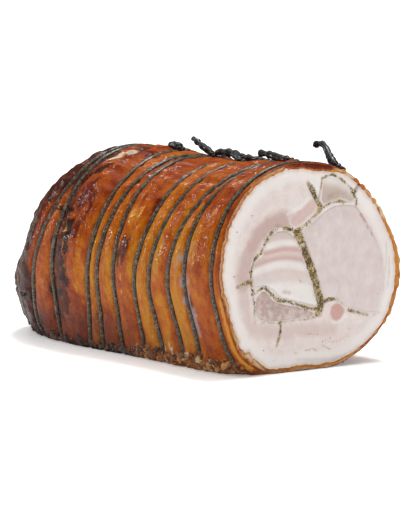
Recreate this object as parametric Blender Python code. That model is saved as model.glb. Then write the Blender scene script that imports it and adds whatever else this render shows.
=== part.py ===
"""A porchetta: a rolled, tied and roasted pork belly round a loin, cut straight across at one end.

X runs along the roll towards the cut, Z is up, and the side with the plain rind faces -Y.
The origin is the middle of the flat that the roll rests on. All sizes are in metres.
A place on the rind is given by s, the distance back from the cut, and theta, the angle round
the roll's axis, counted from +Y towards +Z.
"""
import math

import bmesh
import bpy
import numpy as np
from mathutils import Vector

MM = 0.001

# The roll
LENGTH = 337 * MM
CUT_X = 155 * MM
AXIS_Y = 12 * MM
AXIS_Z = 83 * MM
# The radius from the axis to the rind, sixteen to the turn, at the cut
RIND_RADII = [93, 85.5, 82.5, 83, 83.5, 88.5, 92.5, 93.5,
              93.5, 93, 98, 90, 84, 86, 90.5, 94.5]
# Behind the cut the roll has sagged outwards where its shown side meets the ground, but the foot
# of the far end is drawn up
SAG = 20 * MM
SAG_ANGLE = math.radians(238)
SAG_SPREAD = math.radians(14)
SAG_START = 50 * MM
SAG_FADE = 205 * MM
SAG_END = 300 * MM
# How full the roll is at each place back from the cut
GIRTH_PLACES = [0, 50 * MM, 100 * MM, 150 * MM, 200 * MM, 250 * MM]
GIRTHS = [1.0, 0.972, 0.956, 0.962, 0.995, 1.003]
# The far end closes in a rounded cap that leans back at its foot
CAP_START = 250 * MM
CAP_POWER = 1.9
CAP_TIP_Z = 44 * MM
CAP_TIP_Y = -5 * MM
END_LEAN = 0.43

# The relief of the rind
LUMP_HEIGHT = 1.0 * MM
# The rind between two loops bulges by this part of the band's width
BULGE_PER_WIDTH = 0.09
BULGE_MAX = 2.6 * MM
SHOULDER_BULGE = 0.33
LAST_BAND_WIDTH = 30 * MM
CUT_EDGE = 4 * MM
CUT_EDGE_BULGE = 0.5 * MM
PUCKER_DEPTH = 2.2 * MM
PUCKER_FOLDS = 7
PUCKER_ANGLE = math.radians(170)
# The lengthwise seam, where one edge of the belly laps over the other
SEAM_ANGLE = math.radians(52)
SEAM_STEP = 2.2 * MM
SEAM_SPREAD = math.radians(26)

# The twine and the groove that it has pressed into the rind
TWINE_RADIUS = 1.7 * MM
TWINE_SINK = 0.6 * MM
FIT_GAP = 0.35 * MM
GROOVE_FLOOR_HALF = 2.6 * MM
GROOVE_HALF = 5.4 * MM
# Between close loops a groove takes no more than this part of the band on each side
GROOVE_SHARE = 0.4
FLOOR_SHARE = 0.8
FLOOR_CLEARANCE = 0.5 * MM
FLOOR_BLEND = 1.2 * MM
KNOT_RADIUS = 3.9 * MM
KNOT_LIFT = 3.5 * MM
TAIL_RADIUS = 2.3 * MM
TAIL_STEPS = [0, 0.2, 0.45, 0.72, 1.0]
# The shorter tail's length, its rise, and how far it turns down the side of the roll
SHORT_TAIL = (10 * MM, 3 * MM)
SHORT_TAIL_TURN = 0.8

# Each loop of twine: its place at the shown side, then how far it leans, sweeps back and
# skews on its way round, all in millimetres; the angle of its knot; and the length and the
# rise of its longer tail
LOOPS = [
    (10, 0, -4, 2, 67.5, 30, 17),
    (47, -9, -10, -2, 90, 35, 6),
    (70, -9, -23, 3, 56.25, 26, 6),
    (96, 1, -16, 7, 67.5, 58, 9),
    (115, 5, -5, 10, 78.75, 37, 8),
    (146, 11, 3, 9, 78.75, 30, 11),
    (167, 3, -1, 8, 56.25, 24, 5),
    (179, 3, 8, 8, 90, 18, 3),
    (231, 8, 1, 5, 45, 30, 8),
    (254, 0, -3, 9, 33.75, 26, 8),
    (284, 4, 0, 7, 56.25, 22, 6),
]

# The pieces inside, as outlines in the cut, in millimetres: (y, z) from the roll's axis line
# on the ground
LOIN = [(14, 57), (22, 57.5), (30, 55), (37, 49), (46, 46.5), (60, 43), (72, 44), (78, 60),
        (76, 85), (68, 102), (58, 117), (47, 129), (34, 131), (22, 130), (11, 125), (3, 119),
        (-8, 111), (-5, 101), (3, 85), (8, 72)]
LOIN_CAP = [(14, 134), (24, 137.5), (34, 136.5), (43, 134), (45, 138), (41, 142), (33, 148.3),
            (22, 154.2), (14, 152.5), (12.5, 146), (11.5, 139)]
BELLY_CORE = [(-38, 112), (-27, 113.5), (-18, 109), (-10, 96), (-5, 82), (1, 66), (5, 53),
              (-7, 55), (-22, 59), (-31, 62), (-38, 68), (-46, 72), (-57, 72), (-59, 80),
              (-56, 90), (-49, 95), (-46, 103)]
DARK_MEAT = [(-49, 67), (-43, 64), (-38, 58.5), (-28, 55), (-15, 52), (-3, 48.5), (4, 44.5),
             (-4, 43), (-14, 43), (-32, 42.5), (-50, 44.5), (-55, 52), (-55, 61)]
# The herb stuffing runs between them in bands: a width, then the way it takes
HERB_BANDS = [
    (4.5, [(-4, 152), (2, 143), (8, 133), (9, 129.5), (2, 122.5), (-8, 116), (-15, 111.5)]),
    (2.6, [(11.5, 154), (10.5, 147), (8.5, 140), (8, 131)]),
    (6.5, [(-14, 112), (-7, 99), (0, 83), (6, 67), (10, 54), (8.5, 46)]),
    (3.2, [(-47, 108), (-38, 114.5), (-27, 116), (-17, 113), (-13, 110)]),
    (3.0, [(-43, 111), (-50, 99), (-57, 93), (-61, 81), (-59.5, 70), (-57.5, 58), (-57, 48)]),
    (2.2, [(-60, 76), (-67, 75), (-74, 72.5)]),
    (3.6, [(-58, 66), (-48, 69.5), (-41, 65), (-34, 59), (-22, 56.5), (-8, 52), (5, 48.5), (9, 47)]),
    (2.6, [(-56, 43), (-40, 41), (-31, 40.5), (-12, 41), (2, 42), (9, 46)]),
    (2.2, [(-31, 41), (-31.5, 31), (-35, 22)]),
    (3.0, [(9, 50), (14, 54), (22, 55.5), (31, 52), (37, 46), (46, 43.5), (60, 40), (73, 40.5)]),
    (2.8, [(8, 129), (16, 132), (26, 134.5), (35, 133.5), (45, 131), (50, 129)]),
    (2.6, [(11, 153.5), (22, 156.3), (34, 150), (43.5, 141.5), (47, 134), (47, 130)]),
    (3.4, [(43.5, 140.5), (46.5, 142.5)]),
]
SEAM_SLIT = (2.4, [(47, 143.5), (60, 156)])
FILLING_DEPTH = 236 * MM
SLIT_DEPTH = 240 * MM
STATIONS = 3

# Mesh steps
ROUND_STEPS = 32
CAP_ROWS = [0.50, 0.75, 0.90, 0.98]
BEFORE_CUT = 12 * MM
SLOPE_STEP = 1.5 * MM
SLOPE_ANGLE = 0.03
WELD = 0.01 * MM
SHARP_ANGLE = math.radians(40)

PARTS = "porchetta"
GUIDES = "porchetta_cutters"


# The form of the roll

def smooth_steps(places, values, where):
    """A smooth line through values at places, by cubic steps with the chord slopes."""
    places = np.asarray(places, float)
    values = np.asarray(values, float)
    slopes = np.gradient(values, places)
    index = np.clip(np.searchsorted(places, where) - 1, 0, len(places) - 2)
    width = places[index + 1] - places[index]
    t = np.clip((where - places[index]) / width, 0, 1)
    start = values[index] * (1 + 2 * t) * (1 - t) ** 2 + slopes[index] * width * t * (1 - t) ** 2
    end = values[index + 1] * t * t * (3 - 2 * t) + slopes[index + 1] * width * t * t * (t - 1)
    return start + end


def rind_radius(theta):
    """The radius of the cut outline at an angle."""
    count = len(RIND_RADII)
    wrapped = [RIND_RADII[i % count] * MM for i in range(-2, count + 3)]
    turn = 2 * math.pi
    places = [i * turn / count for i in range(-2, count + 3)]
    return smooth_steps(places, wrapped, np.mod(theta, turn))


def girth(s):
    """How full the roll is at s, as a part of its size at the cut."""
    return smooth_steps(GIRTH_PLACES, GIRTHS, np.minimum(s, GIRTH_PLACES[-1]))


def roll(s, theta):
    """Points of the roll's plain form, with no relief and not yet flattened below."""
    s, theta = np.broadcast_arrays(np.asarray(s, float), np.asarray(theta, float))
    full = girth(s)
    u = np.clip((s - CAP_START) / (LENGTH - CAP_START), 0, 1)
    closing = full * (1 - u ** CAP_POWER) ** (1 / CAP_POWER)
    centre_z = AXIS_Z * full + (CAP_TIP_Z - AXIS_Z * full) * u ** 1.5
    centre_y = AXIS_Y + CAP_TIP_Y * u ** 1.5
    sag = SAG * np.exp(-((np.mod(theta, 2 * math.pi) - SAG_ANGLE) / SAG_SPREAD) ** 2)
    sag *= np.clip(s / SAG_START, 0, 1) * np.clip((SAG_END - s) / (SAG_END - SAG_FADE), 0, 1)
    radius = closing * (rind_radius(theta) + sag)
    y = centre_y + radius * np.cos(theta)
    z = centre_z + radius * np.sin(theta)
    lean = END_LEAN * (z - AXIS_Z) * np.clip(s / LENGTH, 0, 1) ** 1.5
    return np.stack([CUT_X - s + lean, y, z], axis=-1)


def outward(s, theta):
    """The direction that faces out of the roll; across the axis only, close to the cut."""
    back = np.minimum(s + SLOPE_STEP, LENGTH - 0.1 * MM)
    fore = np.minimum(np.maximum(s - SLOPE_STEP, 0), back - SLOPE_STEP)
    along = roll(back, theta) - roll(fore, theta)
    around = roll(s, theta + SLOPE_ANGLE) - roll(s, theta - SLOPE_ANGLE)
    normal = np.cross(along, around)
    normal[..., 0] *= np.clip(s / BEFORE_CUT, 0, 1)
    normal /= np.linalg.norm(normal, axis=-1, keepdims=True)
    return normal


def unevenness(s, theta):
    """Slow lumps of the meat under the rind, the lapped seam and the puckered end."""
    lumps = (np.sin(3 * theta + 31 * s + 0.4) + np.sin(5 * theta - 47 * s + 1.9)
             + np.sin(2 * theta + 83 * s + 4.0)) / 3
    turn = (theta - SEAM_ANGLE + math.pi) % (2 * math.pi) - math.pi
    lap = np.sign(turn) * np.maximum(1 - np.abs(turn) / SEAM_SPREAD, 0) ** 2
    fade_in = np.clip(s / BEFORE_CUT, 0, 1)
    fade_out = np.clip((SLIT_DEPTH - s) / BEFORE_CUT, 0, 1)
    end = np.clip((s - CAP_START) / (LENGTH - CAP_START), 0, 1)
    pucker = np.cos(PUCKER_FOLDS * (theta - PUCKER_ANGLE)) * np.sin(math.pi * end) ** 2
    return (LUMP_HEIGHT * lumps * fade_in + SEAM_STEP * lap * fade_out
            - PUCKER_DEPTH * pucker)


def above(z, lowest):
    """Keep z above the lowest height, with a soft bend."""
    reach = (z - lowest) / FLOOR_BLEND
    return lowest + FLOOR_BLEND * np.logaddexp(0, reach)


# The loops of twine

def loop_place(loop, theta):
    """How far back a loop lies at an angle."""
    middle, lean, sweep, skew = [value * MM for value in loop[:4]]
    return (middle + lean * np.sin(theta) + sweep * np.sin(theta) ** 2
            + skew * np.sin(2 * theta))


def loop_path(loop, theta):
    """The middle line of a loop of twine, sunk in its groove and clear of the ground."""
    s = loop_place(loop, theta)
    lift = unevenness(s, theta) - TWINE_SINK
    points = roll(s, theta) + outward(s, theta) * lift[..., None]
    points[..., 2] = above(points[..., 2], TWINE_RADIUS + FLOOR_CLEARANCE)
    return points


# Building blocks

def make_material(name, colour, roughness):
    material = bpy.data.materials.new(name)
    material.use_nodes = True
    shader = material.node_tree.nodes["Principled BSDF"]
    shader.inputs["Base Color"].default_value = (*colour, 1)
    shader.inputs["Roughness"].default_value = roughness
    shader.inputs["Metallic"].default_value = 0
    material.diffuse_color = (*colour, 1)
    return material


def add_object(name, data, collection, material=None):
    obj = bpy.data.objects.new(name, data)
    collection.objects.link(obj)
    if material:
        data.materials.append(material)
    return obj


def loft(name, rings, close_start=True, close_end=True):
    """A mesh through rings of points that all have the same number of points."""
    mesh = bpy.data.meshes.new(name)
    bm = bmesh.new()
    loops = [[bm.verts.new(Vector(point)) for point in ring] for ring in rings]
    count = len(rings[0])
    for fore, back in zip(loops, loops[1:]):
        for i in range(count):
            j = (i + 1) % count
            bm.faces.new((fore[i], fore[j], back[j], back[i]))
    if close_start:
        bm.faces.new(list(reversed(loops[0])))
    if close_end:
        bm.faces.new(loops[-1])
    bmesh.ops.recalc_face_normals(bm, faces=bm.faces)
    bm.to_mesh(mesh)
    bm.free()
    return mesh


def join_all(target, others, operation):
    """Apply one Boolean of a collection of meshes to the target, then drop the others."""
    tools = bpy.data.collections.new(target.name + "_tools")
    bpy.context.scene.collection.children.link(tools)
    for other in others:
        for home in list(other.users_collection):
            home.objects.unlink(other)
        tools.objects.link(other)
    modifier = target.modifiers.new(operation.lower(), "BOOLEAN")
    modifier.operation = operation
    modifier.solver = "EXACT"
    modifier.operand_type = "COLLECTION"
    modifier.collection = tools
    depsgraph = bpy.context.evaluated_depsgraph_get()
    result = bpy.data.meshes.new_from_object(target.evaluated_get(depsgraph))
    target.modifiers.clear()
    target.data = result
    for other in others:
        bpy.data.objects.remove(other)
    bpy.data.collections.remove(tools)


# The belly wrap

def rind_row(place, lift, theta):
    """One row of the rind round the roll, pressed flat on the ground."""
    raised = (lift + unevenness(place, theta)) * np.clip(place / CUT_EDGE, 0, 1)
    row = roll(place, theta) + outward(place, theta) * raised[..., None]
    row[..., 2] = np.maximum(row[..., 2], 0)
    return row


def groove_floor(loop, theta):
    """The line under a loop of twine that keeps the twine's radius and a gap away from it."""
    path = loop_path(loop, theta)
    fore = path - np.roll(path, 1, axis=0)
    back = np.roll(path, -1, axis=0) - path
    normals = []
    for side in (fore, back):
        normal = np.stack([-side[:, 2], side[:, 1]], axis=-1)
        normals.append(normal / np.linalg.norm(normal, axis=1, keepdims=True))
    inward = (normals[0] + normals[1]) / 2
    inward /= np.sum(inward * inward, axis=1, keepdims=True)
    floor = path.copy()
    floor[:, 1:] += inward * (TWINE_RADIUS + FIT_GAP)
    return floor


def belly_rows(theta):
    """The rows of the rind from the cut to the far end, with two in the floor of each groove."""
    lines = [loop_place(loop, theta) for loop in LOOPS]
    rows = [rind_row(0 * theta, 0 * theta, theta)]
    rows.append(rind_row(lines[0] / 2, 0 * theta + CUT_EDGE_BULGE, theta))
    last = len(lines) - 1
    for i, line in enumerate(lines):
        before = line if i == 0 else line - lines[i - 1]
        after = lines[i + 1] - line if i < last else 0 * theta + LAST_BAND_WIDTH
        bulge_before = np.minimum(BULGE_PER_WIDTH * before, BULGE_MAX)
        bulge_after = np.minimum(BULGE_PER_WIDTH * after, BULGE_MAX)
        reach_before = np.minimum(GROOVE_HALF, GROOVE_SHARE * before)
        reach_after = np.minimum(GROOVE_HALF, GROOVE_SHARE * after)
        floor = groove_floor(LOOPS[i], theta)
        near_half = np.minimum(GROOVE_FLOOR_HALF, FLOOR_SHARE * reach_before)
        rows.append(rind_row(line - reach_before, bulge_before * SHOULDER_BULGE, theta))
        rows.append(floor + np.stack([near_half, 0 * theta, 0 * theta], axis=-1))
        rows.append(floor - np.array([GROOVE_FLOOR_HALF, 0, 0]))
        rows.append(rind_row(line + reach_after, bulge_after * SHOULDER_BULGE, theta))
        if i < last:
            rows.append(rind_row(line + after / 2, bulge_after, theta))
    start = lines[last] + GROOVE_HALF
    for part in CAP_ROWS:
        rows.append(rind_row(start + (LENGTH - start) * part, 0 * theta, theta))
    return rows


def belly_outside():
    """The rind with its grooves and bulges, closed by the cut in front and a tip behind."""
    theta = np.arange(ROUND_STEPS) * 2 * math.pi / ROUND_STEPS
    mesh = loft("belly_wrap", belly_rows(theta), close_end=False)
    bm = bmesh.new()
    bm.from_mesh(mesh)
    tip = bm.verts.new(Vector(roll(LENGTH, 0.0)))
    for edge in [edge for edge in bm.edges if edge.is_boundary]:
        bm.faces.new((edge.verts[0], edge.verts[1], tip))
    bmesh.ops.recalc_face_normals(bm, faces=bm.faces)
    bm.to_mesh(mesh)
    bm.free()
    return mesh


# The pieces inside

def round_outline(points, parts=2):
    """A closed outline with smooth bends through its points."""
    corners = np.asarray(points, float)
    before = np.roll(corners, 1, axis=0)
    after = np.roll(corners, -1, axis=0)
    beyond = np.roll(corners, -2, axis=0)
    outline = []
    for a, b, c, d in zip(before, corners, after, beyond):
        for k in range(parts):
            t = k / parts
            outline.append(0.5 * (2 * b + (c - a) * t + (2 * a - 5 * b + 4 * c - d) * t * t
                                  + (3 * b - a - 3 * c + d) * t ** 3))
    return np.array(outline)


def grown(outline, gap):
    """The outline moved outwards by a gap."""
    along = np.roll(outline, -1, axis=0) - np.roll(outline, 1, axis=0)
    side = np.stack([along[:, 1], -along[:, 0]], axis=-1)
    side /= np.linalg.norm(side, axis=1, keepdims=True)
    after = np.roll(outline, -1, axis=0)
    area = np.sum(outline[:, 0] * after[:, 1] - after[:, 0] * outline[:, 1])
    return outline + side * gap * np.sign(area)


def section(outline, s, full):
    """The outline at s as points in space, scaled by how full the roll is there."""
    return [(CUT_X - s, AXIS_Y + y * MM * full, z * MM * full) for y, z in outline]


def band_outline(width, way):
    """The outline of a band of stuffing along its way, with blunt ends."""
    way = np.asarray(way, float)
    along = np.gradient(way, axis=0)
    along /= np.linalg.norm(along, axis=1, keepdims=True)
    side = np.stack([-along[:, 1], along[:, 0]], axis=-1) * width / 2
    return np.concatenate([way + side, (way - side)[::-1]])


def lengthwise(name, outline, depth):
    """A solid that runs back from the cut with the outline, and narrows as the roll does."""
    rings = [section(outline, s, girth(s)) for s in np.linspace(0, depth, STATIONS)]
    return loft(name, rings)


def lengthwise_room(name, outline, depth):
    """The room of such a solid: a little wider and deeper, and open through the cut."""
    wider = grown(outline, FIT_GAP / MM)
    rings = [section(wider, s, girth(s)) for s in np.linspace(0, depth, STATIONS)]
    rings[-1] = [(x - FIT_GAP, y, z) for x, y, z in rings[-1]]
    rings.insert(0, [(x + BEFORE_CUT, y, z) for x, y, z in rings[0]])
    return loft(name, rings)


def add_inner_pieces(parts, guides):
    """The loin, its cap, the rolled core and the dark meat; returns grown copies as cutters."""
    pieces = [
        ("loin", LOIN, (0.68, 0.55, 0.52)),
        ("loin_cap", LOIN_CAP, (0.58, 0.45, 0.42)),
        ("belly_core", BELLY_CORE, (0.74, 0.62, 0.57)),
        ("dark_meat", DARK_MEAT, (0.42, 0.30, 0.29)),
    ]
    for name, points, colour in pieces:
        outline = round_outline(points)
        material = make_material(name, colour, 0.45)
        add_object(name, lengthwise(name, outline, FILLING_DEPTH), parts, material)
        add_object(name + "_room", lengthwise_room(name + "_room", outline, FILLING_DEPTH), guides)
    return [name + "_room" for name, _, _ in pieces]


def add_herb_filling(parts, guides, rooms):
    """The branching herb stuffing: its bands joined, less the room of the pieces beside it."""
    bands = []
    for index, (width, way) in enumerate(HERB_BANDS):
        outline = band_outline(width, way)
        solid = lengthwise("band", outline, FILLING_DEPTH)
        bands.append(add_object("band_%02d" % index, solid, guides))
        rooms.append("band_room_%02d" % index)
        add_object(rooms[-1], lengthwise_room(rooms[-1], outline, FILLING_DEPTH), guides)
    herbs = bands[0]
    herbs.name = "herb_filling"
    herbs.data.name = "herb_filling"
    join_all(herbs, bands[1:], "UNION")
    pieces = [bpy.data.objects[name].copy() for name in rooms[:4]]
    for piece in pieces:
        guides.objects.link(piece)
    join_all(herbs, pieces, "DIFFERENCE")
    guides.objects.unlink(herbs)
    parts.objects.link(herbs)
    herbs.data.materials.clear()
    herbs.data.materials.append(make_material("herb_filling", (0.20, 0.16, 0.05), 0.6))


def add_belly_wrap(parts, guides, rooms):
    """The skin-on belly, opened by the room of all that is rolled up in it and by its seam."""
    material = make_material("belly_wrap", (0.50, 0.17, 0.04), 0.3)
    belly = add_object("belly_wrap", belly_outside(), parts, material)
    slit = lengthwise_room("seam_slit", band_outline(*SEAM_SLIT), SLIT_DEPTH)
    add_object("seam_slit", slit, guides)
    cutters = [bpy.data.objects[name] for name in rooms + ["seam_slit"]]
    join_all(belly, cutters, "DIFFERENCE")


# The twine

def tube(name, points, radius, cyclic, collection):
    """A round rope through points, as a closed mesh."""
    curve = bpy.data.curves.new(name, "CURVE")
    curve.dimensions = "3D"
    curve.bevel_depth = radius
    curve.bevel_resolution = 1
    curve.use_fill_caps = not cyclic
    spline = curve.splines.new("POLY")
    spline.points.add(len(points) - 1)
    for point, place in zip(spline.points, points):
        point.co = (*place, 1)
    spline.use_cyclic_u = cyclic
    source = add_object(name + "_curve", curve, collection)
    depsgraph = bpy.context.evaluated_depsgraph_get()
    mesh = bpy.data.meshes.new_from_object(source.evaluated_get(depsgraph))
    bm = bmesh.new()
    bm.from_mesh(mesh)
    bmesh.ops.remove_doubles(bm, verts=bm.verts, dist=WELD)
    bmesh.ops.recalc_face_normals(bm, faces=bm.faces)
    bm.to_mesh(mesh)
    bm.free()
    rope = add_object(name, mesh, collection)
    bpy.data.objects.remove(source)
    return rope


def tail_points(foot, direction, up, length, rise):
    """The way of a tail that leaves its knot and stands off the rind."""
    return [foot + direction * length * t + up * rise * math.sin(t * math.pi / 2)
            for t in TAIL_STEPS]


def add_twine(number, loop, parts, guides, material):
    """One loop with its knot and its two charred tails, joined into one piece."""
    name = "twine_%02d" % number
    theta = np.arange(ROUND_STEPS) * 2 * math.pi / ROUND_STEPS
    ring = tube(name, loop_path(loop, theta), TWINE_RADIUS, True, guides)
    knot_angle = math.radians(loop[4])
    step = 2 * math.pi / ROUND_STEPS
    knot_angle = round(knot_angle / step) * step
    s = loop_place(loop, knot_angle)
    up = Vector(outward(np.array(s), np.array(knot_angle)))
    centre = Vector(roll(s, knot_angle)) + up * (KNOT_LIFT + float(unevenness(s, knot_angle)))
    bpy.ops.mesh.primitive_ico_sphere_add(subdivisions=1, radius=KNOT_RADIUS, location=centre)
    knot = bpy.context.object
    knot.name = name + "_knot"
    for home in list(knot.users_collection):
        home.objects.unlink(knot)
    guides.objects.link(knot)
    back = Vector((-1, 0, 0))
    back = (back - up * back.dot(up)).normalized()
    down = up.cross(back)
    down = down if down.z < 0 else -down
    long_tail = tube(name + "_long", tail_points(centre, back, up, loop[5] * MM, loop[6] * MM),
                     TAIL_RADIUS, False, guides)
    across = (down * SHORT_TAIL_TURN - back).normalized()
    short_tail = tube(name + "_short", tail_points(centre, across, up, *SHORT_TAIL),
                      TAIL_RADIUS, False, guides)
    join_all(ring, [knot, long_tail, short_tail], "UNION")
    guides.objects.unlink(ring)
    parts.objects.link(ring)
    ring.data.materials.clear()
    ring.data.materials.append(material)


def main():
    for obj in list(bpy.data.objects):
        bpy.data.objects.remove(obj)
    parts = bpy.data.collections.new(PARTS)
    guides = bpy.data.collections.new(GUIDES)
    bpy.context.scene.collection.children.link(parts)
    bpy.context.scene.collection.children.link(guides)
    rooms = add_inner_pieces(parts, guides)
    add_herb_filling(parts, guides, rooms)
    add_belly_wrap(parts, guides, rooms)
    twine = make_material("twine", (0.06, 0.05, 0.035), 0.7)
    for number, loop in enumerate(LOOPS, start=1):
        add_twine(number, loop, parts, guides, twine)
    for obj in parts.objects:
        obj.data.shade_smooth()
        obj.data.set_sharp_from_angle(angle=SHARP_ANGLE)


main()
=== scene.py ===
# %% [markdown]
# # A porchetta, rolled, tied and roasted
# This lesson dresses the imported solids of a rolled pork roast. The solids stay as they are, and every
# piece that is seen is a finer mesh with the same form, made here by formulas. Each cell makes one thing
# and prints what it made, so the file can be read and run from top to bottom.

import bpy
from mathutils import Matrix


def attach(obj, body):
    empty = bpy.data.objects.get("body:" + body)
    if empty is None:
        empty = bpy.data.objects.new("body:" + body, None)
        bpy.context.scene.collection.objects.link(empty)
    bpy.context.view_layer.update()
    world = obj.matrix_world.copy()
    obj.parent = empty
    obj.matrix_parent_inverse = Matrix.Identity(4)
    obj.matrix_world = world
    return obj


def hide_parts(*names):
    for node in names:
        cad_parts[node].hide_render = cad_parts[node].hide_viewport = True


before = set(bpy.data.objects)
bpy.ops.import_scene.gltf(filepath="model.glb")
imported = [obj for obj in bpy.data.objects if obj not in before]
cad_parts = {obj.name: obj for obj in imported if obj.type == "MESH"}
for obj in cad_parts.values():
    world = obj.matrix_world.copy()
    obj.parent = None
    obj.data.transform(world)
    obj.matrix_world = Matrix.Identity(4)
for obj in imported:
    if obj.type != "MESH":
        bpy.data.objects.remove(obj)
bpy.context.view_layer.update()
print("solids:", ", ".join(sorted(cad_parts)))

# %% [markdown]
# ## Units, colours and helpers for materials
# Sizes are written in millimetres and multiplied by MM. Colours are written as sRGB hex values, the way
# they are picked from a screen, and turned to the linear values that a shader works with. One helper adds
# a shader node, sets it and wires it, so a material reads as a short list of what is in it.

# %% Units, colours and helpers for materials
import itertools
import math

import bmesh
import bpy
import numpy as np
from mathutils import Matrix, Vector
from mathutils.geometry import delaunay_2d_cdt

MM = 0.001
TURN = 2 * math.pi


def linear(hex_colour):
    """The linear colour, with alpha, of an sRGB hex value."""
    values = [int(hex_colour[i:i + 2], 16) / 255 for i in (1, 3, 5)]
    return [v / 12.92 if v <= 0.04045 else ((v + 0.055) / 1.055) ** 2.4 for v in values] + [1.0]


def add_node(material, kind, settings=None, links=None, output=0):
    """Add a node with its settings, colour stops and links, and hand back one of its outputs."""
    node = material.node_tree.nodes.new("ShaderNode" + kind)
    for name, value in (settings or {}).items():
        if name == "stops":
            ramp = node.color_ramp
            while len(ramp.elements) < len(value):
                ramp.elements.new(1.0)
            for element, (place, colour) in zip(ramp.elements, value):
                element.position = place
                element.color = linear(colour)
        elif isinstance(name, str) and hasattr(node, name):
            setattr(node, name, value)
        else:
            node.inputs[name].default_value = value
    for name, socket in (links or {}).items():
        material.node_tree.links.new(socket, node.inputs[name])
    return node.outputs[output]


def start_material(name, **settings):
    """A new material with even values set on its shader's own sockets, and its coordinates."""
    material = bpy.data.materials.new(name)
    material.use_nodes = True
    for socket, value in settings.items():
        material.node_tree.nodes["Principled BSDF"].inputs[socket.replace("_", " ")].default_value = value
    return material, add_node(material, "TexCoord", output="Object")


def dress(material, **sockets):
    """Wire outputs to the shader's inputs, and hand back the material."""
    for name, socket in sockets.items():
        shader = material.node_tree.nodes["Principled BSDF"]
        material.node_tree.links.new(socket, shader.inputs[name.replace("_", " ")])
    return material


print("a mid grey is", [round(v, 3) for v in linear("#808080")])

# %% [markdown]
# ## The camera
# The roast is seen from the side and a little from above, with the cut turned to the right. A long lens
# from two metres gives the mild perspective. The middle of the aim is a point near the foot of the cut,
# and its place in the picture fixes where the camera stands, with no lens shift.

# %% The camera
PICTURE = (412, 510)
VIEW_TURN = 53
VIEW_RISE = 6.5
VIEW_DISTANCE = 2.2
PIXELS_PER_METRE = 1259
AIM = Vector((0.155, -0.0335, 0))
AIM_PIXEL = (266, 375)
SENSOR = 36


def facing(turn, rise):
    """The direction out of the roast at these angles in degrees, round it and up."""
    turn, rise = math.radians(turn), math.radians(rise)
    return Vector((math.sin(turn) * math.cos(rise), -math.cos(turn) * math.cos(rise), math.sin(rise)))


towards = facing(VIEW_TURN, VIEW_RISE)
rightward = facing(VIEW_TURN + 90, 0)
upward = towards.cross(rightward)
across = (AIM_PIXEL[0] - PICTURE[0] / 2) / PIXELS_PER_METRE
below = (AIM_PIXEL[1] - PICTURE[1] / 2) / PIXELS_PER_METRE

camera = bpy.data.objects.new("camera", bpy.data.cameras.new("camera"))
camera.data.sensor_width = SENSOR
camera.data.lens = SENSOR * VIEW_DISTANCE * PIXELS_PER_METRE / PICTURE[1]
camera.data.clip_end = 60
camera.location = AIM + towards * VIEW_DISTANCE - rightward * across + upward * below
camera.matrix_world = (Matrix.Translation(camera.location)
                       @ Matrix((rightward, upward, towards)).transposed().to_4x4())
bpy.context.scene.collection.objects.link(camera)
bpy.context.scene.camera = camera
print("lens in mm:", round(camera.data.lens, 1))

# %% [markdown]
# ## The floor and the light
# A packshot is lit so that the floor turns white and only a soft shadow stays. The sky is bright overhead
# and dimmer at the horizon, like a room with a big softbox on its ceiling, so the glossy rind mirrors little
# white and stays deep. One wide sun models the form, and small panels put wet glints on the rind.

# %% The floor and the light
FLOOR_SIZE = 60
FLOOR_GLOW = 0.22
SKY_HORIZON = 0.10
SKY_ZENITH = 2.3
SKY_RISE = 0.66
MIDDLE = Vector((0, 0, 0.08))
# Name, kind, turn, rise, distance, energy, and size: degrees for a sun, metres for a panel
LIGHTS = [
    ("back_sun", "SUN", 200, 77, 3, 2.3, 16),
    ("low_front_sun", "SUN", 44, 12, 3, 0.76, 40),
    ("glint_panel", "AREA", -63, 28, 1.6, 2.6, 0.14),
    ("low_glint_panel", "AREA", -56, 8, 1.8, 4.5, 0.08),
    ("high_glint_panel", "AREA", -104, 38, 1.7, 2.3, 0.14),
    ("cut_panel", "AREA", 122, 12, 1.8, 3.0, 0.2),
]


def add_floor():
    """A wide sheet of white paper that glows a little."""
    half = FLOOR_SIZE / 2
    mesh = bpy.data.meshes.new("floor")
    mesh.from_pydata([(-half, -half, 0), (half, -half, 0), (half, half, 0), (-half, half, 0)], [],
                     [(0, 1, 2, 3)])
    floor = bpy.data.objects.new("floor", mesh)
    bpy.context.scene.collection.objects.link(floor)
    mesh.materials.append(start_material(
        "white_paper", Roughness=0.9, Specular_IOR_Level=0.1, Base_Color=linear("#f4f4f3"),
        Emission_Color=(1, 1, 1, 1), Emission_Strength=FLOOR_GLOW)[0])


def add_sky():
    """A white sky, bright overhead and dim at the horizon."""
    world = bpy.data.worlds.new("white_sky")
    world.use_nodes = True
    background = world.node_tree.nodes["Background"]
    background.inputs["Color"].default_value = (1, 1, 1, 1)
    way = add_node(world, "TexCoord", output="Generated")
    way_up = add_node(world, "SeparateXYZ", links={"Vector": way}, output="Z")
    sky = add_node(world, "MapRange", {"From Min": SKY_RISE, "To Min": SKY_HORIZON, "To Max": SKY_ZENITH},
                   {"Value": way_up})
    world.node_tree.links.new(sky, background.inputs["Strength"])
    bpy.context.scene.world = world


def add_light(name, kind, turn, rise, distance, energy, size):
    """A sun or a square panel that shines on the roast's middle."""
    light = bpy.data.lights.new(name, kind)
    light.energy = energy
    if kind == "SUN":
        light.angle = math.radians(size)
    else:
        light.size = size
    lamp = bpy.data.objects.new(name, light)
    lamp.location = MIDDLE + facing(turn, rise) * distance
    lamp.rotation_euler = facing(turn, rise).to_track_quat("Z", "Y").to_euler()
    bpy.context.scene.collection.objects.link(lamp)


add_floor()
add_sky()
for light_values in LIGHTS:
    add_light(*light_values)
bpy.context.scene.view_settings.view_transform = "Standard"
print("lights:", [name for name, *_ in LIGHTS])

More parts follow.
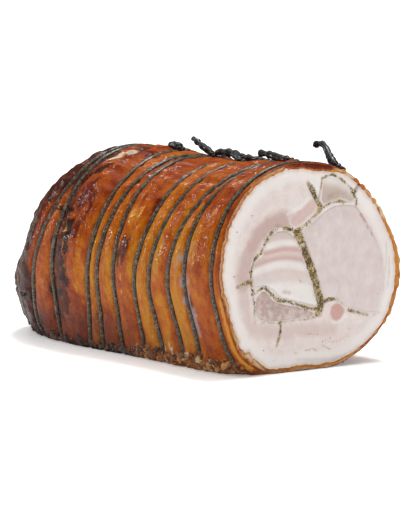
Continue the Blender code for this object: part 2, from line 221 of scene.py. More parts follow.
# %% [markdown]
# ## The form of the roll
# The roll is one formula. A place on the rind is s, the distance back from the cut, and theta, the angle
# round the axis. A table of sixteen radii gives the cut outline, another gives how full the roll is along
# its length, the shown side sags outwards at its foot, and the far end closes in a cap with a raised foot.
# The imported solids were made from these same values, so the finer mesh lies where they lie.

# %% The form of the roll
LENGTH = 337 * MM
CUT_X = 155 * MM
AXIS_Y = 12 * MM
AXIS_Z = 83 * MM
RIND_RADII = [93, 85.5, 82.5, 83, 83.5, 88.5, 92.5, 93.5,
              93.5, 93, 98, 90, 84, 86, 90.5, 94.5]
SAG = 20 * MM
SAG_ANGLE = math.radians(238)
SAG_SPREAD = math.radians(14)
SAG_START = 50 * MM
SAG_FADE = 205 * MM
SAG_END = 300 * MM
GIRTH_PLACES = [0, 50 * MM, 100 * MM, 150 * MM, 200 * MM, 250 * MM]
GIRTHS = [1.0, 0.972, 0.956, 0.962, 0.995, 1.003]
CAP_START = 250 * MM
CAP_POWER = 1.9
CAP_TIP_Z = 44 * MM
CAP_TIP_Y = -5 * MM
END_LEAN = 0.43
LATE_POWER = 1.5


def bell(distance, reach):
    """1 at no distance, falling smoothly to nothing at about twice the reach."""
    return np.exp(-(distance / reach) ** 2)


def smooth_steps(places, values, where):
    """A smooth line through values at places, by cubic steps with the chord slopes."""
    places = np.asarray(places, float)
    values = np.asarray(values, float)
    slopes = np.gradient(values, places)
    index = np.clip(np.searchsorted(places, where) - 1, 0, len(places) - 2)
    width = places[index + 1] - places[index]
    t = np.clip((where - places[index]) / width, 0, 1)
    start = values[index] * (1 + 2 * t) * (1 - t) ** 2 + slopes[index] * width * t * (1 - t) ** 2
    end = values[index + 1] * t * t * (3 - 2 * t) + slopes[index + 1] * width * t * t * (t - 1)
    return start + end


def rind_radius(theta):
    """The radius of the cut outline at an angle."""
    count = len(RIND_RADII)
    wrapped = [RIND_RADII[i % count] * MM for i in range(-2, count + 3)]
    places = [i * TURN / count for i in range(-2, count + 3)]
    return smooth_steps(places, wrapped, np.mod(theta, TURN))


def girth(s):
    """How full the roll is at s, as a part of its size at the cut."""
    return smooth_steps(GIRTH_PLACES, GIRTHS, np.minimum(s, GIRTH_PLACES[-1]))


def roll(s, theta):
    """Points of the roll's plain form, with no relief and not yet flattened below."""
    s, theta = np.broadcast_arrays(np.asarray(s, float), np.asarray(theta, float))
    full = girth(s)
    u = np.clip((s - CAP_START) / (LENGTH - CAP_START), 0, 1)
    closing = full * (1 - u ** CAP_POWER) ** (1 / CAP_POWER)
    sag = SAG * bell(np.mod(theta, TURN) - SAG_ANGLE, SAG_SPREAD)
    sag *= np.clip(s / SAG_START, 0, 1) * np.clip((SAG_END - s) / (SAG_END - SAG_FADE), 0, 1)
    radius = closing * (rind_radius(theta) + sag)
    y = AXIS_Y + CAP_TIP_Y * u ** LATE_POWER + radius * np.cos(theta)
    z = AXIS_Z * full + (CAP_TIP_Z - AXIS_Z * full) * u ** LATE_POWER + radius * np.sin(theta)
    lean = END_LEAN * (z - AXIS_Z) * np.clip(s / LENGTH, 0, 1) ** LATE_POWER
    return np.stack([CUT_X - s + lean, y, z], axis=-1)


print("the cut is", round(2000 * float(np.mean(rind_radius(np.linspace(0, TURN, 64))))), "mm across")

# %% [markdown]
# ## Which way is out, and the slow relief
# Grooves, bulges and wrinkles are heights above the plain form, so each point needs the direction that
# faces out of the roast. It is worked out from small steps along and around. The slow lumps, the lapped
# edge of the seam and the puckers of the far end come first, because the twine follows them too.

# %% Outward direction and slow relief
LUMP_HEIGHT = 1.0 * MM
PUCKER_DEPTH = 2.2 * MM
PUCKER_FOLDS = 7
PUCKER_ANGLE = math.radians(170)
SEAM_ANGLE = math.radians(52)
SEAM_STEP = 2.2 * MM
SEAM_SPREAD = math.radians(26)
SLIT_DEPTH = 240 * MM
BEFORE_CUT = 12 * MM
SLOPE_STEP = 1.5 * MM
SLOPE_ANGLE = 0.03


def outward(s, theta):
    """The direction that faces out of the roll; across the axis only, close to the cut."""
    back = np.minimum(s + SLOPE_STEP, LENGTH - 0.1 * MM)
    fore = np.minimum(np.maximum(s - SLOPE_STEP, 0), back - SLOPE_STEP)
    around = roll(s, theta + SLOPE_ANGLE) - roll(s, theta - SLOPE_ANGLE)
    normal = np.cross(roll(back, theta) - roll(fore, theta), around)
    normal[..., 0] *= np.clip(s / BEFORE_CUT, 0, 1)
    return normal / np.linalg.norm(normal, axis=-1, keepdims=True)


def turned(theta, angle):
    """How far theta is turned from an angle, at most half a turn either way."""
    return (theta - angle + math.pi) % TURN - math.pi


def unevenness(s, theta):
    """Slow lumps of the meat under the rind, the lapped seam and the puckered end."""
    lumps = (np.sin(3 * theta + 31 * s + 0.4) + np.sin(5 * theta - 47 * s + 1.9)
             + np.sin(2 * theta + 83 * s + 4.0)) / 3
    turn = turned(theta, SEAM_ANGLE)
    lap = np.sign(turn) * np.maximum(1 - np.abs(turn) / SEAM_SPREAD, 0) ** 2
    fade_in = np.clip(s / BEFORE_CUT, 0, 1)
    fade_out = np.clip((SLIT_DEPTH - s) / BEFORE_CUT, 0, 1)
    end = np.clip((s - CAP_START) / (LENGTH - CAP_START), 0, 1)
    pucker = np.cos(PUCKER_FOLDS * (theta - PUCKER_ANGLE)) * np.sin(math.pi * end) ** 2
    return LUMP_HEIGHT * lumps * fade_in + SEAM_STEP * lap * fade_out - PUCKER_DEPTH * pucker


print("out at the shown side:", outward(np.array(0.15), np.array(math.pi)).round(2))

# %% [markdown]
# ## Where the twine runs
# Eleven loops are pulled tight round the roll. None is a plain ring: each leans, sweeps back over the top
# and skews. Four numbers a loop give that, and the rind and the twine both read them, so every loop lies in
# its own groove.

# %% The loops of twine
TWINE_RADIUS = 1.7 * MM
TWINE_SINK = 0.6 * MM
FLOOR_CLEARANCE = 0.5 * MM
FLOOR_BLEND = 1.2 * MM
# Place at the shown side, lean, sweep, skew; the knot's angle; the long tail's length and rise
LOOPS = [
    (10, 0, -4, 2, 67.5, 30, 17),
    (47, -9, -10, -2, 90, 35, 6),
    (70, -9, -23, 3, 56.25, 26, 6),
    (96, 1, -16, 7, 67.5, 58, 9),
    (115, 5, -5, 10, 78.75, 37, 8),
    (146, 11, 3, 9, 78.75, 30, 11),
    (167, 3, -1, 8, 56.25, 24, 5),
    (179, 3, 8, 8, 90, 18, 3),
    (231, 8, 1, 5, 45, 30, 8),
    (254, 0, -3, 9, 33.75, 26, 8),
    (284, 4, 0, 7, 56.25, 22, 6),
]


def loop_place(loop, theta):
    """How far back a loop lies at an angle."""
    middle, lean, sweep, skew = [value * MM for value in loop[:4]]
    return middle + lean * np.sin(theta) + sweep * np.sin(theta) ** 2 + skew * np.sin(2 * theta)


def loop_path(loop, theta):
    """The middle line of a loop of twine, sunk in its groove and bent softly clear of the ground."""
    s = loop_place(loop, theta)
    lift = unevenness(s, theta) - TWINE_SINK
    points = roll(s, theta) + outward(s, theta) * lift[..., None]
    lowest = TWINE_RADIUS + FLOOR_CLEARANCE
    points[..., 2] = lowest + FLOOR_BLEND * np.logaddexp(0, (points[..., 2] - lowest) / FLOOR_BLEND)
    return points


print(len(LOOPS), "loops, the last", LOOPS[-1][0], "mm behind the cut")

# %% [markdown]
# ## Random lumps
# Food is uneven at every size. A value noise gives each corner of a grid of cells a random height and
# blends between them. The cell size is given in millimetres along each axis, so the lumps can be round,
# or long one way like a wrinkle. The same seed gives the same lumps on each run.

# %% Random lumps
def soft_noise(points, size, seed):
    """Smooth random heights between -1 and 1, in lumps of this size in mm along each axis."""
    cells = points.reshape(-1, 3) / (np.asarray(size, float) * MM) + 37.7 * seed
    low = np.floor(cells)
    part = cells - low
    part = part * part * (3 - 2 * part)
    total = np.zeros(len(cells))
    for corner in itertools.product((0, 1), repeat=3):
        where = low.astype(np.int64) + np.array(corner)
        code = where[:, 0] * 73856093 ^ where[:, 1] * 19349663 ^ where[:, 2] * 83492791
        code = (code ^ (code >> 13)) * 1274126177
        code = (code ^ (code >> 16)) & 0xFFFF
        total += np.prod(np.where(corner, part, 1 - part), axis=1) * (code / 32767.5 - 1)
    return total.reshape(points.shape[:-1])


def crag_noise(points, size, seed, layers=3):
    """Noise with finer noise on top of it, each layer half as large and half as high."""
    total = 0
    for layer in range(layers):
        total = total + soft_noise(points, np.asarray(size, float) / 2 ** layer, seed + layer) / 2 ** layer
    return total


def ease(value, start, end):
    """0 before start, 1 after end, and a smooth step between; start may be the larger."""
    t = np.clip((value - start) / (end - start), 0, 1)
    return t * t * (3 - 2 * t)


def from_table(table, where):
    """Values between the pairs of place and value in a table."""
    return np.interp(where, *zip(*table))


trial = soft_noise(np.random.default_rng(1).random((1000, 3)), 5, 1)
print("noise from", trial.min().round(2), "to", trial.max().round(2))

# %% [markdown]
# ## The grid of the rind
# The rind is a grid of rows and columns wrapped round the roll. If the rows were plain rings, a leaning
# loop would cut across them and its groove would look like a staircase. So the rows of each band are
# shared out between the loop before it and the loop behind it, closer together near the twine.

# %% The grid of the rind
COLUMNS = 340
ROW_STEP = 1.9 * MM
CROWDING = 0.5
TIP_CROWDING = 0.9
NO_LOOP = 1.0

theta = np.arange(COLUMNS) * TURN / COLUMNS
edges = [np.zeros(COLUMNS)] + [loop_place(loop, theta) for loop in LOOPS] + [np.full(COLUMNS, LENGTH)]
bands, band_rows = [], [0]
for band, (fore, back) in enumerate(zip(edges, edges[1:])):
    count = int(np.mean(back - fore) / ROW_STEP) + 4
    steps = np.arange(count) / count
    if band == len(LOOPS):
        steps = steps ** TIP_CROWDING
    share = np.repeat(steps - CROWDING * np.sin(TURN * steps) / TURN, COLUMNS).reshape(count, COLUMNS)
    width = np.broadcast_to(back - fore, share.shape)
    s = fore + width * share
    before = s - fore if band > 0 else np.full(s.shape, NO_LOOP)
    after = back - s if band < len(LOOPS) else np.full(s.shape, NO_LOOP)
    bands.append(np.array([s, share, width, before, after]))
    band_rows.append(band_rows[-1] + count)
rind_s, rind_share, rind_width, rind_before, rind_after = np.concatenate(bands, axis=1)
rind_theta = np.broadcast_to(theta, rind_s.shape)
print("rind grid:", rind_s.shape, "of", rind_s.size, "points")

# %% [markdown]
# ## Marks on the rind
# The oven marks a rind unevenly: mahogany blotches where fat fried it, a burnt twisted fold, creases full
# of char, pale smears of fat. Each mark is placed by s and theta, and its edge is broken up by noise. A
# mark is a number from 0 to 1 at each point, and the material reads it as a mask.

# %% Marks on the rind
ARC = 85 * MM
# s, angle, reach along the roll, reach around it
MAHOGANY_SPOTS = [
    (214, 148, 7, 9), (205, 156, 4, 8), (194, 156, 3, 15), (200, 166, 6, 11), (206, 148, 10, 16),
    (186, 112, 12, 10), (152, 100, 7, 14), (110, 150, 5, 9), (62, 96, 7, 12), (118, 60, 10, 22),
    (210, 20, 14, 26), (90, -30, 10, 24), (240, -60, 12, 22), (40, 10, 8, 22), (133, 174, 4, 15)]
AMBER_SPOTS = [
    (134, 155, 5, 8), (215, 168, 3, 6), (212, 176, 2, 8), (118, 180, 6, 30), (58, 160, 6, 26),
    (86, 168, 7, 30), (38, 165, 8, 20), (152, 190, 6, 26), (176, 185, 4, 24), (84, 205, 7, 24),
    (190, 195, 8, 26), (60, 205, 9, 30), (104, 210, 7, 20), (60, -10, 8, 24), (130, 10, 8, 24),
    (190, -30, 10, 20), (105, 75, 6, 12)]
MAUVE_SPOTS = [
    (228, 146, 10, 26), (224, 162, 13, 26), (221, 177, 14, 26), (220, 192, 13, 24), (226, 206, 13, 20),
    (214, 206, 8, 14), (232, 130, 10, 24), (222, 121, 8, 12), (238, 122, 9, 16), (129, 170, 4, 10),
    (138, 178, 4, 12), (222, 122, 6, 14), (206, 110, 8, 8), (40, 196, 3, 8)]
FLECKS = [
    (124, 150, 1.2, 4), (125, 155, 1.4, 5), (135, 155, 1.2, 2), (106, 165, 1.0, 3), (104, 175, 1.2, 5),
    (134, 186, 1.0, 4), (135, 195, 1.0, 3), (114, 190, 1.8, 2), (110, 196, 1.6, 4), (60, 160, 0.9, 6),
    (64, 172, 0.9, 5), (215, 168, 2.6, 5), (213, 175, 1.4, 6), (170, 199, 1.4, 2.4), (104, 217, 2.0, 2.5),
    (150, 192, 1.2, 3), (92, 152, 1.0, 3), (20, 150, 1.0, 4), (85, 120, 1.5, 2)]
FAT_SMEARS = [(46, 190, 7, 30), (39, 204, 5, 10), (207, 117, 4, 3), (71, 31, 4, 10), (159, -20, 4, 9)]
CREAM_SPOTS = [(206, 116, 6, 5), (213, 121, 5, 4)]
# Half width in mm, then the way by s and angle
CREAM_WAYS = [(1.4, [(213, 121), (221, 127)]), (1.4, [(96, 225), (90, 222)]),
              (1.1, [(84, 220), (80, 223)]), (1.3, [(64, 224), (60, 222)])]
CHAR_WAYS = [(4.4, [(222, 158), (212, 165), (210, 171), (209, 178), (215, 182), (213, 188), (210, 196)]),
             (2.2, [(242, 159), (235, 158), (226, 160)]), (4.2, [(232, 203), (222, 205), (214, 201)]),
             (2.0, [(228, 168), (226, 180)]), (2.4, [(224, 136), (214, 134), (206, 128)])]
TWISTED_FOLD = [(240, 118), (236, 124), (233, 128), (231, 134), (230, 139), (232, 147), (230, 153),
                (221, 160), (212, 165)]
CHAR_CREASES = [[(308, 198), (292, 201), (280, 205), (267, 206)],
                [(212, 40), (222, 20), (214, 0), (220, -25)],
                [(300, 60), (290, 30), (296, 0)]]


def rind_distance(way):
    """How far each point of the rind is from a way given by s in mm and angle in degrees."""
    here = np.stack([rind_s, rind_theta * ARC], axis=-1)
    way = np.array([(s * MM, math.radians(angle) * ARC) for s, angle in way])
    nearest = np.full(rind_s.shape, 1.0)
    for turn in (-TURN, 0, TURN):
        for start, end in zip(way, way[1:]):
            from_start, run = here - start - [0, turn * ARC], end - start
            along = np.clip(from_start @ run / (run @ run), 0, 1)
            nearest = np.minimum(nearest, np.linalg.norm(from_start - along[..., None] * run, axis=-1))
    return nearest


def spots(places, ragged, seed):
    """A mask of soft spots with ragged edges."""
    mask = np.zeros(rind_s.shape)
    edge = crag_noise(rind_plain, (6, 9, 9), seed) * ragged
    for s, angle, reach_s, reach_arc in places:
        turn = turned(rind_theta, math.radians(angle))
        away = np.hypot((rind_s - s * MM) / (reach_s * MM), turn * ARC / (reach_arc * MM))
        mask = np.maximum(mask, ease(away + edge, 1.25, 0.45))
    return mask


def stripes(ways, ragged, seed):
    """A mask of soft, ragged stripes along ways on the rind."""
    mask = np.zeros(rind_s.shape)
    edge = crag_noise(rind_plain, 5, seed) * ragged
    for half, way in ways:
        mask = np.maximum(mask, ease(rind_distance(way) / (half * MM) + edge, 1.35, 0.55))
    return mask


rind_plain = roll(rind_s, rind_theta)
fold_gap = rind_distance(TWISTED_FOLD)
crease_gap = np.minimum.reduce([rind_distance(way) for way in CHAR_CREASES])
mahogany = spots(MAHOGANY_SPOTS, 0.75, 11)
amber = spots(AMBER_SPOTS, 0.5, 23) * 0.8
smear = spots(FAT_SMEARS, 0.7, 31)
cream = np.maximum(stripes(CREAM_WAYS, 0.5, 33), spots(CREAM_SPOTS, 0.4, 38))
charred = stripes(CHAR_WAYS, 1.0, 35)
mauve = spots(MAUVE_SPOTS, 0.55, 37)
flecks = spots(FLECKS, 0.5, 39)
print("marked share of the rind:", [round(float(m.mean()), 3) for m in (mahogany, amber, smear)])

# %% [markdown]
# ## The relief of the rind
# Between two loops the rind swells like a cushion, and under each loop it is pressed into a narrow groove.
# On top of that come pleats along the roll near its top, streaks around it, and rough crust at its foot,
# where juices dried and burnt on. The crust closes over the twine there.

# %% The relief of the rind
BULGE_PER_WIDTH = 0.09
BULGE_MAX = 2.6 * MM
GROOVE_DEPTH = 2.5 * MM
GROOVE_REACH = 2.1 * MM
CUT_EDGE = 4 * MM
# Distance behind the cut, and how high the crust reaches there, in mm
CRUST_TOPS = [(0, 17), (100, 18), (140, 11), (260, 10)]
CRUST_FULL = 0.4
CRUST_FILLS = 0.85
CRUST_OVER_TWINE = 2.6 * MM
COVER_REACH = 5 * MM
QUIET_REACH = 4.2 * MM
TUNNEL_HEIGHT = 4.4 * MM
GROUND_GAP = 0.1 * MM
# Angle, then how far back in mm the rind turns dark and purple there
FAR_START = [(0, 250), (60, 236), (95, 230), (110, 224), (124, 221), (133, 223), (142, 229), (150, 244),
             (157, 253), (170, 257), (210, 257), (222, 250), (235, 238), (252, 232), (300, 245), (360, 250)]

height = rind_plain[..., 2]
crust_top = from_table(CRUST_TOPS, rind_s / MM) * MM
crust = ease(height + 4 * MM * crag_noise(rind_plain, 11, 5), crust_top, crust_top * CRUST_FULL)
groove = np.minimum(bell(rind_before, GROOVE_REACH) + bell(rind_after, GROOVE_REACH), 1)
open_groove = groove * (1 - CRUST_FILLS * crust)
nearest_loop = np.minimum(rind_before, rind_after)
last_band = rind_after == NO_LOOP
pillow = 1 - np.abs(2 * rind_share - 1) ** 2.6
pillow[last_band] = ((1 - np.exp(-rind_before / (7 * MM))) * (1 - rind_share) ** 0.7)[last_band]
bulge = np.minimum(BULGE_PER_WIDTH * rind_width, BULGE_MAX) * pillow

top = ease(height, 105 * MM, 150 * MM)
far_start = from_table(FAR_START, np.degrees(rind_theta)) * MM
far = ease(rind_s + 4 * MM * crag_noise(rind_plain, 12, 8, 2) - far_start, -5 * MM, 8 * MM)
fold = 2.4 * bell(fold_gap, 3.4 * MM) - 1.6 * bell(fold_gap - 6 * MM, 2 * MM)
# Heights in mm: pleats, streaks, lumps, grain, crags of crust, the burnt part, the fold, the creases
reliefs = [
    soft_noise(rind_plain, (13, 4.6, 4.6), 41) * (0.3 + 1.3 * top * (1 - 0.6 * far) + 0.35 * far),
    soft_noise(rind_plain, (5, 17, 17), 42) * 0.28,
    crag_noise(rind_plain, 11, 43) * 0.5,
    soft_noise(rind_plain, 2.6, 44) * 0.16,
    (np.abs(crag_noise(rind_plain, 7, 45)) * 2.4 + crag_noise(rind_plain, 3.2, 47, 2) * 0.9) * crust,
    (crag_noise(rind_plain, 6, 49) * 0.35 + soft_noise(rind_plain, (18, 4, 4), 52) * 0.5)
    * far * (1 - 0.6 * top),
    fold * (1 + 0.5 * soft_noise(rind_plain, (5, 3, 3), 53)),
    0.8 * bell(crease_gap - 4 * MM, 2.2 * MM) - 2.0 * bell(crease_gap, 1.7 * MM),
]
near_cut = np.clip(rind_s / CUT_EDGE, 0, 1)
detail = sum(reliefs) * MM * near_cut * (1 - 0.85 * bell(nearest_loop, QUIET_REACH))
covering = CRUST_OVER_TWINE * crust * (0.7 + 0.5 * crag_noise(rind_plain, 9, 54, 2))
rise = bulge - GROOVE_DEPTH * open_groove + detail
rise += (unevenness(rind_s, rind_theta) + covering * bell(nearest_loop, COVER_REACH)) * near_cut
rind_points = rind_plain + outward(rind_s, rind_theta) * rise[..., None]
lowest = TUNNEL_HEIGHT * open_groove * ease(rind_s, 0, CUT_EDGE) + GROUND_GAP
rind_points[..., 2] = np.maximum(rind_points[..., 2], lowest)
print("relief in mm:", (detail.min() / MM).round(1), "to", (detail.max() / MM).round(1))

# %% [markdown]
# ## The edge of the cut
# The knife leaves the tough skin standing a little proud of the soft fat. Roasting curls it forward, most
# at the lower left. A few more rows carry the grid over that lip and down to the flat of the cut.

# %% The edge of the cut
# Angle, then the skin's thickness in mm
SKIN_TABLE = [
    (0, 2.8), (14, 2.2), (30, 1.5), (36, 0.9), (44, 1.6), (50, 1.0), (62, 1.5), (70, 2.2), (78, 4.2),
    (98, 4.4), (108, 3.2), (130, 3.4), (160, 3.8), (188, 3.4), (194, 5.0), (212, 4.4), (228, 6.0),
    (237, 3.4), (262, 3.4), (290, 1.8), (322, 1.4), (331, 1.6), (340, 2.8), (350, 3.2), (360, 2.8)]
LIP = 0.9 * MM
LEAST_LIP = 0.15 * MM
CURL_REACH = 1.5 * MM
RIGHT_REACH = 0.8 * MM
TORN_REACH = 0.9 * MM
# Share of the skin's thickness inwards, and share of the lip forwards
LIP_ROWS = [(1.0, 0.0), (0.92, 0.55), (0.66, 0.9), (0.34, 1.0), (0.1, 0.6)]
FLAT_STEP = 0.9 * MM


def between(start, full, fade, end):
    """1 along a part of the edge, 0 elsewhere, with soft ends, by angles in degrees."""
    start, full, fade, end = np.radians([start, full, fade, end])
    return ease(theta, start, full) * ease(theta, end, fade)


cut_ring = rind_points[0]
inward = -outward(np.zeros(COLUMNS), theta)
ring_noise = crag_noise(cut_ring, 9, 61)
fine_noise = soft_noise(cut_ring, 3.0, 64)
curl = between(190, 194, 230, 238)
right_side = ease(np.cos(theta), 0.55, 0.85)
skin = from_table(SKIN_TABLE, np.degrees(theta)) * MM * (1 + 0.3 * ring_noise + 0.3 * fine_noise)
lip = LIP * (1 + 0.8 * ring_noise + 0.7 * fine_noise)
lip = np.maximum(lip + CURL_REACH * curl + RIGHT_REACH * right_side * fine_noise, LEAST_LIP)
torn_out = TORN_REACH * right_side * np.clip(0.25 * fine_noise + 1.1 * ring_noise, 0, 1.2)
flat_ring = cut_ring + inward * (skin + FLAT_STEP)[:, None]
lip_rows = [flat_ring]
for share_in, share_fore in LIP_ROWS:
    row = cut_ring + inward * (skin * share_in - torn_out * share_fore)[:, None]
    row[:, 0] += lip * share_fore
    lip_rows.append(row)
lip_rows = np.array(lip_rows)
lip_rows[..., 2] = np.maximum(lip_rows[..., 2], GROUND_GAP)
print("skin in mm:", (skin.min() / MM).round(1), "to", (skin.max() / MM).round(1))

# %% [markdown]
# ## What shows in the cut
# The cut shows a loin, a small cap muscle, the rolled end of the belly, a darker muscle under it, and the
# herb stuffing in the seams between them. Their outlines are the ones of the solids: y from the axis and
# z from the ground, in millimetres. Catmull-Rom steps round them off, and noise makes the seams swell.

# %% Outlines in the cut
OUTLINES = {
    "loin": [(14, 57), (22, 57.5), (30, 55), (37, 49), (46, 46.5), (60, 43), (72, 44), (78, 60),
             (76, 85), (68, 102), (58, 117), (47, 129), (34, 131), (22, 130), (11, 125), (3, 119),
             (-8, 111), (-5, 101), (3, 85), (8, 72)],
    "loin_cap": [(14, 134), (24, 137.5), (34, 136.5), (43, 134), (45, 138), (41, 142), (33, 148.3),
                 (22, 154.2), (14, 152.5), (12.5, 146), (11.5, 139)],
    "belly_core": [(-38, 112), (-27, 113.5), (-18, 109), (-10, 96), (-5, 82), (1, 66), (5, 53),
                   (-7, 55), (-22, 59), (-31, 62), (-38, 68), (-46, 72), (-57, 72), (-59, 80),
                   (-56, 90), (-49, 95), (-46, 103)],
    "dark_meat": [(-49, 67), (-43, 64), (-38, 58.5), (-28, 55), (-15, 52), (-3, 48.5), (4, 44.5),
                  (-4, 43), (-14, 43), (-32, 42.5), (-50, 44.5), (-55, 52), (-55, 61)],
}
HERB_BANDS = [
    (4.5, [(-4, 152), (2, 143), (8, 133), (9, 129.5), (2, 122.5), (-8, 116), (-15, 111.5)]),
    (2.6, [(11.5, 154), (10.5, 147), (8.5, 140), (8, 131)]),
    (6.5, [(-14, 112), (-7, 99), (0, 83), (6, 67), (10, 54), (8.5, 46)]),
    (3.2, [(-47, 108), (-38, 114.5), (-27, 116), (-17, 113), (-13, 110)]),
    (3.0, [(-43, 111), (-50, 99), (-57, 93), (-61, 81), (-59.5, 70), (-57.5, 58), (-57, 48)]),
    (2.2, [(-60, 76), (-67, 75), (-74, 72.5)]),
    (3.6, [(-58, 66), (-48, 69.5), (-41, 65), (-34, 59), (-22, 56.5), (-8, 52), (5, 48.5), (9, 47)]),
    (2.6, [(-56, 43), (-40, 41), (-31, 40.5), (-12, 41), (2, 42), (9, 46)]),
    (2.2, [(-31, 41), (-31.5, 31), (-35, 22)]),
    (3.0, [(9, 50), (14, 54), (22, 55.5), (31, 52), (37, 46), (46, 43.5), (60, 40), (73, 40.5)]),
    (2.8, [(8, 129), (16, 132), (26, 134.5), (35, 133.5), (45, 131), (50, 129)]),
    (2.6, [(11, 153.5), (22, 156.3), (34, 150), (43.5, 141.5), (47, 134), (47, 130)]),
    (3.4, [(43.5, 140.5), (46.5, 142.5)]),
]
SEAM_SLIT = [(47, 143.5), (54, 150), (60, 156)]
FACE_STEP = 1.25


def run_of(line):
    """How far along a line each of its points lies."""
    return np.concatenate([[0], np.cumsum(np.linalg.norm(np.diff(line, axis=0), axis=1))])


def spread(line, count, closed):
    """Points the same distance apart along a line, count steps in all."""
    run = run_of(line)
    at = np.linspace(0, run[-1], count + 1)[:count + (not closed)]
    return np.stack([np.interp(at, run, values) for values in line.T], axis=-1)


def smooth_way(points, closed):
    """Points along a smooth line through the given ones, FACE_STEP apart."""
    points = np.asarray(points, float)
    if closed:
        corners = np.vstack([points[-1:], points, points[:2]])
    else:
        corners = np.vstack([2 * points[:1] - points[1:2], points, 2 * points[-1:] - points[-2:-1]])
    t = np.linspace(0, 1, 12, endpoint=False)[:, None]
    line = []
    for a, b, c, d in zip(corners, corners[1:], corners[2:], corners[3:]):
        line.append(0.5 * (2 * b + (c - a) * t + (2 * a - 5 * b + 4 * c - d) * t * t
                           + (3 * b - a - 3 * c + d) * t ** 3))
    line = np.concatenate(line + [corners[-2:-1]])
    return spread(line, max(3, int(round(run_of(line)[-1] / FACE_STEP))), closed)


def as_points(flat):
    """Places of the cut, in mm, as points in space."""
    return np.insert(flat, 0, 0.0, axis=1) * MM


def seam_outline(width, way, seed):
    """The ragged outline of a seam of stuffing along its way."""
    line = smooth_way(way, closed=False)
    along = np.gradient(line, axis=0)
    along /= np.linalg.norm(along, axis=1, keepdims=True)
    side = np.stack([-along[:, 1], along[:, 0]], axis=-1)
    halves = [sign * width / 2 * (1 + 0.5 * soft_noise(as_points(line), 4, seed + sign)) for sign in (1, -1)]
    return np.concatenate([line + side * halves[0][:, None], (line + side * halves[1][:, None])[::-1]])


outlines = {name: smooth_way(points, closed=True) for name, points in OUTLINES.items()}
seams = [seam_outline(width, way, 70 + 3 * i) for i, (width, way) in enumerate(HERB_BANDS)]
print("outline points:", {name: len(line) for name, line in outlines.items()}, "and", len(seams), "seams")

# %% [markdown]
# ## One triangle net for the whole cut
# All pieces meet in the same flat cut. If each had its own net, their edges would gape or overlap, so one
# constrained Delaunay net is made with every outline in it, and each triangle then goes to the piece that
# its middle lies in. Neighbours share the very same edge points.

# %% One triangle net for the whole cut
NAMES = ["belly_wrap", "loin", "loin_cap", "belly_core", "dark_meat", "herb_filling"]
NET_AREA = ((-96, 98), (0, 170))
NET_JITTER = 0.18
CLEAR_OF_LINES = 0.55


def inside(flat, outline):
    """Which places lie inside an outline, counted by how often it winds round them."""
    winding = np.zeros(len(flat), int)
    x, y = flat[:, 0], flat[:, 1]
    for (x0, y0), (x1, y1) in zip(outline, np.roll(outline, -1, axis=0)):
        side = (x1 - x0) * (y - y0) - (x - x0) * (y1 - y0)
        winding += (y0 <= y) & (y1 > y) & (side > 0)
        winding -= (y0 > y) & (y1 <= y) & (side < 0)
    return winding != 0


def gap_to(flat, outline, closed=True):
    """Distance in mm from each place to an outline or an open way."""
    outline = np.asarray(outline, float)
    ends = np.roll(outline, -1, axis=0) if closed else outline[1:]
    nearest = np.full(len(flat), 1e3)
    for start, end in zip(outline, ends):
        run = end - start
        along = np.clip((flat - start) @ run / max(run @ run, 1e-9), 0, 1)
        nearest = np.minimum(nearest, np.linalg.norm(flat - start - along[:, None] * run, axis=1))
    return nearest


ring_flat = (flat_ring[:, 1:] - [AXIS_Y, 0]) / MM
lines_in_net = [ring_flat] + list(outlines.values()) + seams
net_edges, offset = [], 0
for line in lines_in_net:
    net_edges += [(offset + i, offset + (i + 1) % len(line)) for i in range(len(line))]
    offset += len(line)
fixed = np.concatenate(lines_in_net)

rng = np.random.default_rng(7)
up_mm = np.arange(*NET_AREA[1], FACE_STEP * math.sqrt(3) / 2)
grid_y, grid_z = np.meshgrid(np.arange(*NET_AREA[0], FACE_STEP), up_mm)
grid_y = grid_y + (np.arange(len(up_mm)) % 2)[:, None] * FACE_STEP / 2
scattered = np.stack([grid_y.ravel(), grid_z.ravel()], axis=-1)
scattered = scattered + rng.uniform(-NET_JITTER, NET_JITTER, scattered.shape)
scattered = scattered[inside(scattered, ring_flat)]
nearest_fixed = np.full(len(scattered), 1e3)
for chunk in np.array_split(fixed, 12):
    away = np.linalg.norm(scattered[:, None] - chunk[None], axis=-1).min(axis=1)
    nearest_fixed = np.minimum(nearest_fixed, away)
scattered = scattered[nearest_fixed > CLEAR_OF_LINES * FACE_STEP]

net = delaunay_2d_cdt([Vector(p) for p in np.concatenate([fixed, scattered])], net_edges, [], 0, 1e-4)
net_flat = np.array([tuple(p) for p in net[0]])
net_faces = np.array(net[2])
corners = net_flat[net_faces]
is_turned = np.cross(corners[:, 1] - corners[:, 0], corners[:, 2] - corners[:, 0]) < 0
net_faces[is_turned] = net_faces[is_turned][:, ::-1]
middles = corners.mean(axis=1)
keep = inside(middles, ring_flat)
net_faces, middles = net_faces[keep], middles[keep]

owner = np.zeros(len(net_faces), int)
for seam in seams:
    owner[inside(middles, seam)] = NAMES.index("herb_filling")
for name, line in outlines.items():
    owner[inside(middles, line)] = NAMES.index(name)
print("triangles in the net:", {name: int((owner == i).sum()) for i, name in enumerate(NAMES)})

# %% [markdown]
# ## The relief of the cut
# A knife leaves roast meat almost flat: the muscles stand half a millimetre proud, the seams sink, and the
# herbs lie in them in lumps. Fat smears over parts of each seam, so a table tells where the herbs show.

# %% The relief of the cut
SEAM_SINK = 0.5
SLIT_SINK = 2.5
